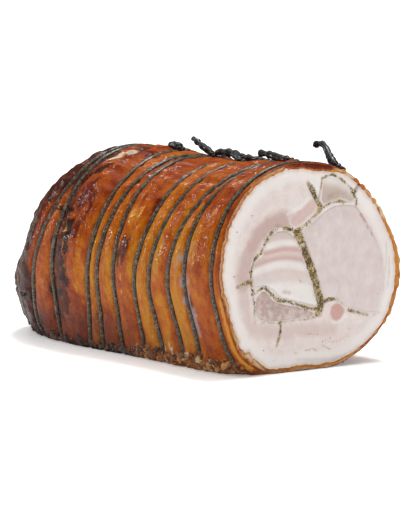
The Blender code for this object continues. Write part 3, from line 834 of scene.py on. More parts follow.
# How much of each seam's width the herbs fill, and how thick they lie at shares of its way
HERBS_SHOWN = [
    (1.0, [(0, 0.2), (0.1, 0.8), (0.4, 1), (0.5, 0.8), (0.55, 0.35), (0.85, 0.35), (0.95, 1)]),
    (0.7, [(0, 0.5), (0.2, 0.8), (0.5, 0.4), (1, 1)]),
    (1.1, [(0, 1), (1, 1)]),
    (0.8, [(0, 0.4), (0.2, 0.9), (0.35, 0.2), (0.5, 0.3), (0.6, 1), (0.9, 0.8), (1, 1)]),
    (0.7, [(0, 0.9), (0.15, 0.4), (0.3, 1), (0.4, 0.5), (0.5, 1), (0.6, 0.9), (0.8, 0.5), (1, 0.5)]),
    (1.2, [(0, 0.6), (0.5, 0.8), (1, 1)]),
    (0.55, [(0, 0.5), (0.2, 1), (0.3, 1), (0.4, 0.9), (0.7, 0.8), (1, 1)]),
    (0.5, [(0, 0.5), (0.2, 0.6), (0.35, 0.8), (0.5, 0.3), (0.8, 0.4), (1, 0.9)]),
    (0.9, [(0, 0.9), (1, 0.8)]),
    (0.9, [(0, 0.9), (0.2, 0.9), (0.28, 0.1), (0.48, 0.1), (0.55, 1), (0.62, 0.6), (0.7, 1), (0.78, 0.8),
           (0.84, 0.1), (1, 0.1)]),
    (0.7, [(0, 0.9), (0.3, 0.6), (0.45, 1), (0.6, 1), (0.68, 0.1), (1, 0.0)]),
    (0.8, [(0, 0.7), (0.15, 0.6), (0.25, 1), (0.35, 0.4), (0.5, 1), (0.6, 0.4), (0.8, 0.9), (1, 0.5)]),
    (1.0, [(0, 0.9), (1, 0.9)]),
]

place_flat = as_points(net_flat)
ring_gap = gap_to(net_flat, ring_flat)
seam_gap = np.minimum.reduce([gap_to(net_flat, line) for line in outlines.values()])
herb_gap = np.minimum.reduce([gap_to(net_flat, way, False) - width / 2 for width, way in HERB_BANDS])
herb_here = np.zeros(len(net_flat))
for (width, way), (fill, density) in zip(HERB_BANDS, HERBS_SHOWN):
    line = smooth_way(way, closed=False)
    away = np.linalg.norm(net_flat[:, None] - line[None], axis=-1)
    thick = from_table(density, away.argmin(axis=1) / (len(line) - 1))
    reach = fill * width / 2 * (0.6 + 0.5 * thick)
    herb_here = np.maximum(herb_here, thick * ease(away.min(axis=1), reach + 0.5, reach - 0.4))
herb_here = herb_here * np.clip(0.9 + 0.6 * soft_noise(place_flat, 3.2, 109), 0.2, 1.1)
in_herbs = ease(herb_gap, 0.6, -0.6) * herb_here
swell = (0.35 * crag_noise(place_flat, 9, 81) + 0.10 * soft_noise(place_flat, 2.6, 84)
         + 0.5 * ease(seam_gap, 0, 9) * inside(net_flat, outlines["loin"]))
herb_lumps = 0.7 * crag_noise(place_flat, 3.0, 86, 2) - 0.5
cut_relief = swell * (1 - in_herbs) + in_herbs * herb_lumps - SEAM_SINK * bell(seam_gap, 0.8)
cut_relief = cut_relief * ease(ring_gap, 0, 5) - SLIT_SINK * bell(gap_to(net_flat, SEAM_SLIT, False), 1.3)
print("relief of the cut in mm:", cut_relief.min().round(1), "to", cut_relief.max().round(1))

# %% [markdown]
# ## The tints of the cut
# The tints are masks again: lean bands in the belly, white fat beside them, pink muscle, brown juice near
# the stuffing, and a brown line under the skin. Each way has a half width and a strength of its own.

# %% The tints of the cut
LEAN_BANDS = [
    (5.2, [(-24, 124), (-34, 122.5), (-44, 119), (-53, 112), (-60, 103)], 1.0),
    (5.5, [(-60, 103), (-65, 92), (-68, 80), (-68, 74)], 0.85),
    (4.2, [(-68, 76), (-68, 60), (-64, 48), (-56, 37), (-40, 33), (-22, 33), (0, 33), (22, 32)], 0.45),
    (3.0, [(70, 120), (84, 92), (82, 62)], 0.2)]
RODS = [(4.2, [(-16, 121), (-7, 127), (1, 132)], 0.55), (6.5, [(27, 45), (28, 45)], 0.95)]
WHITE_WAYS = [
    (1.3, [(-24, 127), (-18, 130), (-12, 131), (-3, 139)], 0.6),
    (1.4, [(-20, 115), (-4, 121), (6, 128)], 0.35),
    (1.6, [(37, 41), (31, 37), (23, 37)], 0.6), (1.2, [(22, 53), (32, 52), (37, 47)], 0.5),
    (2.5, [(-22, 131), (-20, 121)], 0.4), (3.4, [(5, 150), (7, 142)], 0.8),
    (1.2, [(-63, 70), (-61, 56), (-60, 44)], 0.25),
    (4.0, [(52, 136), (66, 120), (80, 96), (84, 70), (80, 50)], 0.35)]
BROWN_LINES = [
    (0.7, [(45, 131), (51, 124), (58, 113), (64, 105)], 0.35), (0.5, [(79, 97), (79.5, 85), (79, 75)], 0.6),
    (0.5, [(82.5, 86), (83, 72), (81, 62)], 0.7), (0.5, [(73, 86), (74, 74)], 0.5),
    (3.0, [(20, 137), (26, 139)], 0.4), (2.0, [(-34, 117), (-22, 116)], 0.7)]
RED_STREAKS = [
    (0.5, [(-8, 30), (0, 29), (8, 28)], 0.8), (0.8, [(-16, 15), (-14, 14.6)], 0.8),
    (0.6, [(-5, 16), (2, 17), (6, 15)], 0.9), (0.6, [(12, 19), (20, 15)], 0.9),
    (0.4, [(14, 23), (26, 20), (38, 24)], 0.5), (1.3, [(52, 122), (56, 117)], 0.8),
    (0.8, [(58, 113), (59, 111)], 0.7), (0.8, [(63, 107), (64, 104)], 0.7),
    (1.7, [(-27, 65), (-22, 64)], 0.5), (0.8, [(-12, 73), (-10, 72)], 0.7),
    (0.6, [(-19, 58), (-15, 56)], 0.4)]
GREY_WAYS = [(0.9, [(-14, 9), (4, 7.6), (24, 6.6), (36, 8.7)], 0.45), (0.8, [(-38, 11), (-36, 11)], 0.4)]
# Height in the rolled end, and how lean it is there
CORE_STRIPES = [
    (50, 0.0), (57, 0.0), (71, 0.0), (75, 0.5), (82, 0.6), (84.5, 0.2), (86, 0.0), (88, 0.0), (90, 0.4),
    (92, 0.8), (94, 0.6), (96, 0.4), (97, 0.4), (98, 0.8), (100, 0.8), (101.5, 0.4), (103, 0.0),
    (105, 0.0), (107.5, 0.7), (114, 0.8)]
PINK_IN_CORE = [(89, 0.0), (92, 0.6), (94, 0.35), (96, 0.3), (98, 0.6), (100, 0.5), (102, 0.0)]
CORE_BOW = 0.0055
CORE_MIDDLE = -30


def along_ways(ways, seed, ragged=1.0, softness=1.6):
    """A mask of soft stripes along ways, each with its half width in mm and its strength."""
    mask = np.zeros(len(net_flat))
    edge = ragged * crag_noise(place_flat, 6, seed)
    for half, way, strength in ways:
        gap = gap_to(net_flat, way, False) + edge * min(1, half / 3)
        outer = half + softness * min(1, half / 2)
        mask = np.maximum(mask, strength * ease(gap, outer, half - softness / 2))
    return mask


bowed = (net_flat[:, 1] + CORE_BOW * (net_flat[:, 0] - CORE_MIDDLE) ** 2
         + 0.6 * crag_noise(place_flat, 16, 91))
core_lean = from_table(CORE_STRIPES, bowed)
in_core = inside(net_flat, outlines["belly_core"])
herb_halo = np.clip(1.3 * herb_here, 0, 1) * np.exp(-np.maximum(herb_gap, 0) / 1.1)
tints = {
    "fat_over": 1 - np.clip(1.25 * herb_here + 0.35 * soft_noise(place_flat, 1.8, 108), 0, 1),
    "lean": np.where(in_core, core_lean, along_ways(LEAN_BANDS, 92, ragged=1.4, softness=5.0)),
    "blush": np.maximum(along_ways(RODS, 95, ragged=0.8), in_core * from_table(PINK_IN_CORE, bowed)),
    "white_fat": np.maximum(along_ways(WHITE_WAYS, 96), in_core * 0.7 * (1 - core_lean)),
    "juice": np.maximum(along_ways(BROWN_LINES, 97, ragged=1.2),
                        0.8 * herb_halo * (0.75 + 0.6 * soft_noise(place_flat, 2.2, 98))),
    "streak": along_ways(RED_STREAKS, 99, softness=0.8),
    "grey": along_ways(GREY_WAYS, 107, ragged=3.0, softness=5.0),
    "under_skin": ease(ring_gap + 0.5 * crag_noise(place_flat, 4, 100), 1.7, 0.1),
    "outer_fat": ease(ring_gap, 14, 7) * ease(ring_gap, 1.5, 3.5),
}
tints = {name: np.clip(mask, 0, 1) for name, mask in tints.items()}
print("mean tints:", {name: round(float(mask.mean()), 2) for name, mask in tints.items()})

# %% [markdown]
# ## Roast pork
# The meat is roast pork loin and belly, cooked through and cut with a knife. Cooking turns the lean pale
# pink-grey and the fat white, and both let light in a little way, so they look soft and never chalky. One
# function lays the tints over a base colour, with fibres drawn at the 1.5 mm that still shows here.

# %% Roast pork
FIBRE = 1.5 * MM
GRAIN = 0.5 * MM
CLOUD = 11 * MM
# Tint, colour, strength
PORK_LAYERS = [("outer_fat", "#d7d1ce", 0.8), ("lean", "#b49a94", 1.0), ("white_fat", "#d5d2d0", 0.95),
               ("blush", "#b88f87", 1.0), ("juice", "#957f5c", 0.8), ("streak", "#a46d5c", 0.7),
               ("under_skin", "#c4955c", 0.5), ("grey", "#7f7b78", 0.8)]


def roast_pork(name, stops, fibre_way, cloud_size=CLOUD):
    """Roast pork, cut with a knife: pale, moist, with fine fibres that run the long way."""
    material, place = start_material(
        name, IOR=1.42, Subsurface_Weight=0.35, Subsurface_Scale=2.2 * MM, Coat_Weight=0.12,
        Coat_Roughness=0.25, Specular_IOR_Level=0.4, Subsurface_Radius=(1.0, 0.55, 0.4))
    stretched = add_node(material, "Mapping", {"Scale": fibre_way}, {"Vector": place})
    fibres = add_node(material, "TexNoise", {"Scale": 1 / FIBRE, "Detail": 3.0, "Roughness": 0.6},
                      {"Vector": stretched})
    clouds = add_node(material, "TexNoise", {"Scale": 1 / cloud_size, "Detail": 3.0}, {"Vector": place})
    colour = add_node(material, "ValToRGB", {"stops": stops}, {"Fac": clouds})
    fleck = add_node(material, "MapRange", {"From Min": 0.38, "From Max": 0.7, "To Max": 0.4},
                     {"Value": fibres})
    colour = add_node(material, "Mix", {"data_type": "RGBA", 7: linear("#c6a79b")}, {0: fleck, 6: colour}, 2)
    for mask_name, over, strength in PORK_LAYERS:
        mask = add_node(material, "Attribute", {"attribute_name": mask_name}, output="Fac")
        amount = add_node(material, "Math", {"operation": "MULTIPLY", 1: strength}, {0: mask})
        colour = add_node(material, "Mix", {"data_type": "RGBA", 7: linear(over)}, {0: amount, 6: colour}, 2)
    wet = add_node(material, "MapRange", {"To Min": 0.34, "To Max": 0.62}, {"Value": clouds})
    grain = add_node(material, "TexNoise", {"Scale": 1 / GRAIN, "Detail": 2.0}, {"Vector": place})
    rough = add_node(material, "Math", {"operation": "ADD"}, {0: fibres, 1: grain})
    bump = add_node(material, "Bump", {"Strength": 0.35, "Distance": 0.25 * MM}, {"Height": rough})
    return dress(material, Base_Color=colour, Roughness=wet, Normal=bump)


roast_belly = roast_pork("roast_pork_belly", [(0.3, "#cabfbb"), (0.7, "#d5cdca")], (1, 1, 1))
roast_loin = roast_pork("roast_pork_loin", [(0.3, "#bfb3b1"), (0.7, "#cbc3c2")], (0.3, 1, 0.25))
roast_cap = roast_pork("roast_loin_cap", [(0.3, "#a5968d"), (0.7, "#b7a99f")], (0.4, 1, 0.4))
roast_core = roast_pork("roast_rolled_belly", [(0.3, "#c7bab4"), (0.7, "#d4cdc9")], (1, 0.3, 1))
roast_dark = roast_pork("roast_dark_meat", [(0.34, "#9d8a86"), (0.5, "#ab9792"), (0.66, "#bdafaa")],
                        (0.6, 0.5, 1), cloud_size=4.5 * MM)
print("tints on the pork:", len(PORK_LAYERS))

# %% [markdown]
# ## The herb stuffing
# The stuffing is chopped rosemary, sage, garlic and cracked pepper, fried in pork fat. It has no single
# colour, so a paste of olive and brown carries thousands of small bits that are real meshes.

# %% The herb stuffing
def herb_paste():
    """Chopped herbs in fat: a mottled, greasy paste, smeared over with fat at its edges."""
    material, place = start_material("herb_paste", IOR=1.45, Coat_Weight=0.15, Coat_Roughness=0.3)
    mottle = add_node(material, "TexNoise", {"Scale": 1 / (1.6 * MM), "Detail": 4.0, "Roughness": 0.7},
                      {"Vector": place})
    stops = [(0.30, "#2a2013"), (0.42, "#5f4d2b"), (0.55, "#937b4c"), (0.70, "#cdb98c")]
    colour = add_node(material, "ValToRGB", {"stops": stops}, {"Fac": mottle})
    rough = add_node(material, "MapRange", {"To Min": 0.4, "To Max": 0.75}, {"Value": mottle})
    bump = add_node(material, "Bump", {"Strength": 0.8, "Distance": 0.5 * MM}, {"Height": mottle})
    mask = add_node(material, "Attribute", {"attribute_name": "fat_over"}, output="Fac")
    smeared = add_node(material, "Mix", {"data_type": "RGBA", 7: linear("#cfc4bc")}, {0: mask, 6: colour}, 2)
    return dress(material, Base_Color=smeared, Roughness=rough, Normal=bump)


paste = herb_paste()
print(paste.name)

# %% [markdown]
# ## The roasted rind
# The rind is pork skin, scalded, salted and roasted: a hard, lacquered gelatine over fat. It is amber where
# thin and mahogany where the fat fried it, dull where char or dried juice lies on it, and wet with fat all
# over. Broad marks come from the masks, and noises with real sizes add streaks and specks.

# %% The roasted rind
# Mask, colour, strength
RIND_LAYERS = [
    # groove and twine_shade are painted shade beside each loop of twine, foot_shade is painted shade near the
    # ground
    ("dusk", "#4c2826", 0.6), ("mahogany", "#4c0d04", 0.9), ("groove", "#451806", 0.85),
    ("far_brown", "#2a0d07", 0.92), ("mauve", "#361510", 0.82), ("crust", "#33180f", 0.88),
    ("tan", "#8e5a28", 0.85), ("gold", "#b87a2c", 0.9), ("cream", "#c3ae90", 0.85),
    ("foot_shade", "#170b08", 0.9), ("skin_brown", "#5e2a10", 0.9), ("twine_shade", "#2e1c10", 0.8),
    ("char", "#1d1412", 0.9), ("smear", "#8d8487", 0.7)]
DRY_MASKS = ["crust", "char", "mauve"]
RIND_STOPS = [(0.0, "#521602"), (0.3, "#7f3103"), (0.52, "#974704"), (0.74, "#a45b05"), (0.95, "#aa6d14")]


def roasted_rind():
    """Pork rind, roasted and basted: a glossy orange-brown lacquer."""
    material, place = start_material(
        "roasted_pork_rind", IOR=1.4, Coat_Weight=0.2, Coat_Roughness=0.15, Subsurface_Weight=0.04,
        Subsurface_Scale=1.5 * MM, Specular_IOR_Level=0.05, Subsurface_Radius=(1.0, 0.4, 0.15))
    round_way = add_node(material, "Mapping", {"Scale": (1, 0.16, 0.16)}, {"Vector": place})
    clouds = add_node(material, "TexNoise", {"Scale": 1 / (9 * MM), "Detail": 4.0, "Roughness": 0.6},
                      {"Vector": place})
    runs = add_node(material, "TexNoise", {"Scale": 1 / (3.2 * MM), "Detail": 1.0, "Roughness": 0.5},
                    {"Vector": round_way})
    specks = add_node(material, "TexNoise", {"Scale": 1 / (2.2 * MM), "Detail": 1.0}, {"Vector": place})
    wrinkles = add_node(material, "TexNoise", {"Scale": 1 / (6 * MM), "Detail": 2.0, "Roughness": 0.55,
                                               "Distortion": 0.6}, {"Vector": place})
    warm = add_node(material, "Attribute", {"attribute_name": "warm"}, output="Fac")
    uneven = add_node(material, "Math", {"operation": "MULTIPLY_ADD", 1: 0.9}, {0: clouds, 2: warm})
    browning = add_node(material, "Math", {"operation": "MULTIPLY_ADD", 1: 0.35}, {0: wrinkles, 2: uneven})
    level = add_node(material, "Math", {"operation": "SUBTRACT", 1: 0.62}, {0: browning})
    colour = add_node(material, "ValToRGB", {"stops": RIND_STOPS}, {"Fac": level})
    fine_layers = [(runs, 0.48, 0.72, 0.3, "#6a2408"), (specks, 0.58, 0.74, 0.35, "#43190a")]
    for noise, low, high, most, over in fine_layers:
        mask = add_node(material, "MapRange", {"From Min": low, "From Max": high, "To Max": most},
                        {"Value": noise})
        colour = add_node(material, "Mix", {"data_type": "RGBA", 7: linear(over)}, {0: mask, 6: colour}, 2)
    broken = add_node(material, "Math", {"operation": "ADD"}, {0: specks, 1: wrinkles})
    broken = add_node(material, "Math", {"operation": "SUBTRACT", 1: 1.0}, {0: broken})
    dull = {}
    for mask_name, over, strength in RIND_LAYERS:
        mask = add_node(material, "Attribute", {"attribute_name": mask_name}, output="Fac")
        amount = add_node(material, "Math", {"operation": "MULTIPLY_ADD", 1: 1.6}, {0: broken, 2: mask})
        limited = add_node(material, "Math", {"operation": "MULTIPLY", "use_clamp": True},
                           {0: mask, 1: amount})
        share = add_node(material, "MapRange", {"From Max": 0.7, "To Max": strength}, {"Value": limited})
        colour = add_node(material, "Mix", {"data_type": "RGBA", 7: linear(over)}, {0: share, 6: colour}, 2)
        if mask_name in DRY_MASKS:
            dull = {1: add_node(material, "Math", {"operation": "MAXIMUM"}, {0: mask, **dull})}
    gloss = add_node(material, "MapRange", {"To Min": 0.25, "To Max": 0.45}, {"Value": clouds})
    rough = add_node(material, "MapRange", {"To Max": 0.8}, {"Value": dull[1], "To Min": gloss})
    relief = add_node(material, "Math", {"operation": "MULTIPLY_ADD", 1: 0.28}, {0: specks, 2: wrinkles})
    relief = add_node(material, "Math", {"operation": "MULTIPLY_ADD", 1: 0.2}, {0: runs, 2: relief})
    bump = add_node(material, "Bump", {"Strength": 1.0, "Distance": 0.85 * MM}, {"Height": relief})
    return dress(material, Base_Color=colour, Roughness=rough, Normal=bump, Coat_Normal=bump)


rind = roasted_rind()
print(rind.name, "with", len(rind.node_tree.nodes), "nodes")

# %% [markdown]
# ## Building meshes from arrays
# A grid of points turns into quads by arithmetic on the point numbers. One function makes a mesh object
# from arrays, with its masks as attributes, and makes it ride on the roast.

# %% Building meshes from arrays
SHARP = math.radians(50)


def grid_faces(rows, columns, start=0, ring=False):
    """Quads of a grid that is closed round its rows; with ring, the last row meets the first."""
    i = np.arange(rows if ring else rows - 1)[:, None] * columns
    below_row = (i + columns) % (rows * columns)
    j = np.arange(columns)[None]
    k = (j + 1) % columns
    quads = np.stack(np.broadcast_arrays(i + j, below_row + j, below_row + k, i + k), axis=-1)
    return quads.reshape(-1, 4) + start


def make_piece(name, points, faces, materials, masks, replaced=None, which=None, weld=0):
    """A smooth mesh object from points, lists of faces, materials and masks, riding on the roast."""
    mesh = bpy.data.meshes.new(name)
    all_faces = [tuple(face) for group in faces for face in np.asarray(group).tolist()]
    mesh.from_pydata(np.asarray(points, float).tolist(), [], all_faces)
    for material in materials:
        mesh.materials.append(material)
    if which is not None:
        mesh.polygons.foreach_set("material_index", np.asarray(which, np.int32))
    for mask_name, values in masks.items():
        layer = mesh.attributes.new(mask_name, "FLOAT", "POINT")
        layer.data.foreach_set("value", np.asarray(values, np.float32))
    if weld:
        bm = bmesh.new()
        bm.from_mesh(mesh)
        bmesh.ops.remove_doubles(bm, verts=bm.verts, dist=weld)
        bm.to_mesh(mesh)
        bm.free()
    mesh.shade_smooth()
    mesh.set_sharp_from_angle(angle=SHARP)
    piece = bpy.data.objects.new(name, mesh)
    bpy.context.scene.collection.objects.link(piece)
    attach(piece, "root")
    if replaced:
        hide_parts(replaced)
    return piece


print("a ring of 3 rows has", len(grid_faces(3, 4, ring=True)), "quads")

# %% [markdown]
# ## From the net to solid pieces
# A piece of the cut is its own triangles in front, the same triangles again far inside the roast, and walls
# between the edges that no neighbour in the piece shares. The walls narrow as the roll does.

# %% From the net to solid pieces
FILLING_DEPTH = 236 * MM
WALL_PLACES = [1.5 * MM, 60 * MM, 150 * MM]
PIECE_GAP = 0.06


def at_depth(flat, depth, relief=0):
    """Places of the cut as points in the roast, at a depth behind the cut."""
    points = as_points(flat) * girth(np.array(depth)) + [CUT_X - depth, AXIS_Y, 0]
    points[:, 0] += relief * MM
    return points


def edge_of(faces):
    """The directed edges that only one triangle has."""
    directed = np.concatenate([faces[:, [0, 1]], faces[:, [1, 2]], faces[:, [2, 0]]])
    size = directed.max() + 1
    return directed[~np.isin(directed @ [size, 1], directed @ [1, size])]


def used_by(faces):
    """The point numbers that some triangles use, and the triangles numbered anew by them."""
    used, faces = np.unique(faces, return_inverse=True)
    return used, faces.reshape(-1, 3)


def walls(rim, rings):
    """Quads between rings of points that all follow the same rim."""
    a, b = np.searchsorted(np.unique(rim), rim).T
    return [np.stack([fore[a], back[a], back[b], fore[b]], axis=-1) for fore, back in zip(rings, rings[1:])]


def inner_piece(name, material):
    """One piece that shows in the cut, as a closed solid that runs back through the roast."""
    used, faces = used_by(net_faces[owner == NAMES.index(name)])
    flat = net_flat[used].copy()
    rim = edge_of(faces)
    on_rim = np.unique(rim)
    middle = np.zeros_like(flat)
    shared = np.zeros(len(flat))
    for corner in range(3):
        np.add.at(middle, faces[:, corner], flat[faces].mean(axis=1))
        np.add.at(shared, faces[:, corner], 1)
    pull = middle / shared[:, None] - flat
    pull /= np.maximum(np.linalg.norm(pull, axis=1, keepdims=True), 1e-6)
    flat[on_rim] += pull[on_rim] * PIECE_GAP
    count = len(used)
    layers = [at_depth(flat, 0, cut_relief[used]), at_depth(flat, FILLING_DEPTH)]
    layers += [at_depth(flat[on_rim], depth) for depth in WALL_PLACES]
    starts = 2 * count + np.arange(len(WALL_PLACES)) * len(on_rim)
    rings = [on_rim] + [start + np.arange(len(on_rim)) for start in starts] + [on_rim + count]
    numbers = np.concatenate([used, used] + [used[on_rim]] * len(WALL_PLACES))
    return make_piece(name + "_roast", np.concatenate(layers),
                      [faces, faces[:, ::-1] + count] + walls(rim, rings), [material],
                      {mask_name: values[numbers] for mask_name, values in tints.items()}, replaced=name)


inner_materials = [roast_loin, roast_cap, roast_core, roast_dark, paste]
inner = [inner_piece(name, material) for name, material in zip(NAMES[1:], inner_materials)]
print("inner pieces:", [len(o.data.polygons) for o in inner])

# %% [markdown]
# ## The belly with its rind
# The belly is one closed mesh: the lip rows, the rind grid and a tip behind it, the flat of the cut with a
# pocket for the pieces inside, and the pocket's back. The cut flesh and the rind are two materials on it.

# %% The belly with its rind
# How amber each band is, from red-brown at 0 to amber at 1
BAND_WARMTH = [0.50, 0.52, 0.70, 0.56, 0.76, 0.52, 0.55, 0.74, 0.42, 0.44, 0.26, 0.25]
# How strong each tint is on the rows of the lip, from its inner foot outwards
# The cream near the lip's outer edge is partly the dry gelatine of the cut skin and partly a painted
# highlight
RIM_TINTS = {"gold": [0.6, 0.9, 1.0, 0.7, 0.1, 0.0], "cream": [0.0, 0.1, 0.0, 0.3, 0.8, 0.2],
             "skin_brown": [0.0, 0.0, 0.1, 0.2, 0.4, 0.9]}
# The same where the skin has curled forward, and where it is dark on top
# On the curled flap the cream is a painted highlight
FLAP_TINTS = {"gold": [0.5, 0.7, 0.9, 0.9, 0.7, 0.4], "cream": [0.4, 0.6, 0.6, 0.6, 0.3, 0.0],
              "skin_brown": [0.0, 0.0, 0.0, 0.1, 0.4, 0.8]}
TOP_TINTS = {"gold": [0.7, 0.8, 0.3, 0.0, 0.0, 0.0], "mahogany": [0.0, 0.2, 0.6, 0.9, 1.0, 1.0]}
# The same where the pale end of the belly laps over at the upper right, and at the lower right
LAP_TINTS = {"gold": [0.1, 0.1, 0.2, 0.2, 0.1, 0.0], "cream": [0.8, 1.0, 1.2, 1.2, 1.0, 0.7],
             "skin_brown": [0.0, 0.0, 0.0, 0.0, 0.2, 0.4]}
LOW_TINTS = {"gold": [0.3, 0.5, 0.6, 0.4, 0.2, 0.0], "cream": [0.2, 0.5, 0.3, 0.3, 0.4, 0.2],
             "skin_brown": [0.0, 0.0, 0.2, 0.4, 0.6, 0.9]}
# Where these tints hold, by the angles of their soft ends
LIP_PARTS = [(curl, FLAP_TINTS), (between(70, 78, 102, 112), TOP_TINTS),
             (between(22, 32, 64, 72), LAP_TINTS), (between(296, 306, 334, 342), LOW_TINTS)]
FLAP_DEPTH = 5 * MM
WELD = 0.004 * MM


def rind_masks():
    """The marks of the rind, row by row."""
    behind = ease(rind_s + 20 * MM * crag_noise(rind_plain, 18, 101, 2), 95 * MM, 150 * MM)
    near_fold = bell(fold_gap, 4.5 * MM) * (0.8 + 0.5 * soft_noise(rind_plain, (6, 4, 4), 102))
    lowness = ease(height + 6 * MM * crag_noise(rind_plain, 15, 104), 58 * MM, 16 * MM)
    lowness = lowness * (0.35 + 0.65 * behind)
    foot_crust = ease(height, 10 * MM, 3 * MM) * (0.4 + 0.6 * behind)
    patchy = crag_noise(rind_plain, 6, 112)
    warm = np.repeat(BAND_WARMTH, np.diff(band_rows))[:, None]
    warm = warm + 0.14 * crag_noise(rind_plain, (12, 26, 26), 105)
    char = np.maximum.reduce([bell(crease_gap, 2.4 * MM), 0.8 * near_fold, 0.95 * charred])
    return {
        "warm": warm - 0.12 * top * (1 - far) + 0.5 * amber - 0.10 * lowness,
        "dusk": np.clip(0.85 * lowness + 0.2 * top * (0.6 + crag_noise(rind_plain, 9, 106)), 0, 1),
        "mahogany": mahogany,
        # painted shade: the rind darker in and around the groove of each loop
        "groove": bell(nearest_loop, 4.2 * MM) * 0.7,
        "far_brown": far * np.clip(0.9 + 0.3 * crag_noise(rind_plain, 12, 103, 2), 0, 1),
        "mauve": mauve,
        "crust": np.maximum(crust * (0.6 + 0.4 * behind), foot_crust),
        "foot_shade": ease(height + 3 * MM * patchy, 8 * MM, 1 * MM) * (0.3 + 0.7 * behind),
        "tan": crust * (1 - behind) * ease(patchy, -0.6, 0.3),
        "gold": np.maximum(flecks, curl * ease(rind_s, FLAP_DEPTH, 0.3 * FLAP_DEPTH)),
        "cream": np.maximum(cream, crust * (1 - behind) * ease(patchy, 0.55, 0.95)),
        "skin_brown": np.zeros(rind_s.shape),
        "twine_shade": bell(nearest_loop, 2.5 * MM) * (1 - 0.5 * crust),
        "char": np.clip(char, 0, 1),
        "smear": smear,
    }


def lip_mask(mask_name, mask):
    """A mark on the rows of the lip: cut skin has tints of its own, the rest goes on from the rind."""
    rows = len(lip_rows)
    if mask_name in ("twine_shade", "groove", "dusk"):
        return np.zeros((rows, COLUMNS))
    values = np.repeat(mask[:1], rows, axis=0)
    if mask_name in RIM_TINTS:
        values = np.outer(RIM_TINTS[mask_name], 1 + 0.6 * fine_noise + 0.5 * ring_noise)
    for where, table in LIP_PARTS:
        if mask_name in RIM_TINTS or mask_name in table:
            own = np.outer(table.get(mask_name, [0] * rows), 1 + 0.8 * fine_noise + 0.6 * ring_noise)
            values = values * (1 - where) + own * where
    return values


def add_belly():
    """The whole belly wrap as one closed mesh."""
    rows = np.concatenate([lip_rows, rind_points])
    tip = len(rows) * COLUMNS
    last = tip - COLUMNS + np.arange(COLUMNS)
    fan = np.stack([last, np.full(COLUMNS, tip), np.roll(last, -1)], axis=-1)
    used, faces = used_by(net_faces[owner == 0])
    pocket_used, pocket = used_by(net_faces[owner != 0])
    rim = edge_of(pocket)
    on_rim = np.unique(rim)
    rim_used = pocket_used[on_rim]
    front = at_depth(net_flat[used], 0, cut_relief[used])
    front[:, 2] = np.maximum(front[:, 2], GROUND_GAP)
    layers = [rows.reshape(-1, 3), roll(LENGTH, 0.0)[None], front]
    rings = [tip + 1 + np.searchsorted(used, rim_used)]
    count = tip + 1 + len(used)
    for depth in WALL_PLACES:
        layers.append(at_depth(net_flat[rim_used], depth))
        rings.append(count + np.arange(len(rim_used)))
        count += len(rim_used)
    layers.append(at_depth(net_flat[pocket_used], FILLING_DEPTH + 0.3 * MM))
    rings.append(count + on_rim)
    flesh = [faces + tip + 1] + walls(rim[:, ::-1], rings) + [pocket + count]
    groups = [grid_faces(len(rows), COLUMNS), fan] + flesh
    numbers = np.concatenate([used] + [rim_used] * len(WALL_PLACES) + [pocket_used])
    masks = {}
    for mask_name, mask in rind_masks().items():
        on_rind = np.append(np.concatenate([lip_mask(mask_name, mask), mask]), mask[-1, -1])
        masks[mask_name] = np.append(on_rind, np.zeros(len(numbers)))
    for mask_name, tint in tints.items():
        masks[mask_name] = np.append(np.zeros(tip + 1), tint[numbers])
    which = np.repeat([0, 1], [sum(map(len, groups[:2])), sum(map(len, flesh))])
    return make_piece("belly_wrap_roast", np.concatenate(layers), groups, [rind, roast_belly],
                      masks, replaced="belly_wrap", which=which, weld=WELD)


belly = add_belly()
belly.data.calc_loop_triangles()
print("belly:", len(belly.data.loop_triangles), "triangles")

# %% [markdown]
# ## The charred twine
# Butcher's twine is three plies of cotton twisted together. In the oven it soaks up fat, turns olive-grey
# and chars black where it stands free. Its section is the outline of three round plies, turned a little
# further at each step along the way, so the twist is in the mesh.

# %% Charred twine
PLY_OFFSET = 0.34
PLY_RADIUS = 0.68
TWIST_LENGTH = 9 * MM
ROPE_STEP = 0.95 * MM
ROPE_SIDES = 14
# How thick a tail is at its foot and at its tip, and how much of the plies shows in its char
TAIL_FOOT = 1.25
TAIL_TIP = 1.0
TAIL_PLIES = 0.3


def charred_twine():
    """Cotton twine, soaked in fat and charred in the oven."""
    material, place = start_material("charred_cotton_twine", IOR=1.45, Specular_IOR_Level=0.2,
                                     Coat_Weight=0.4, Coat_Roughness=0.14)
    mottle = add_node(material, "TexNoise", {"Scale": 1 / (2.4 * MM), "Detail": 3.0}, {"Vector": place})
    threads = add_node(material, "TexNoise", {"Scale": 1 / (0.6 * MM), "Detail": 2.0}, {"Vector": place})
    stops = [(0.30, "#1b140c"), (0.45, "#392f22"), (0.60, "#5a5040"), (0.74, "#877b65")]
    colour = add_node(material, "ValToRGB", {"stops": stops}, {"Fac": mottle})
    # crack is painted shade, darker the deeper a point lies between the plies
    for mask_name, over in (("crack", "#1b130b"), ("burnt", "#090707")):
        mask = add_node(material, "Attribute", {"attribute_name": mask_name}, output="Fac")
        colour = add_node(material, "Mix", {"data_type": "RGBA", 7: linear(over)}, {0: mask, 6: colour}, 2)
    rough = add_node(material, "MapRange", {"To Min": 0.3, "To Max": 0.7}, {"Value": threads})
    bump = add_node(material, "Bump", {"Strength": 0.7, "Distance": 0.3 * MM}, {"Height": threads})
    return dress(material, Base_Color=colour, Roughness=rough, Normal=bump)


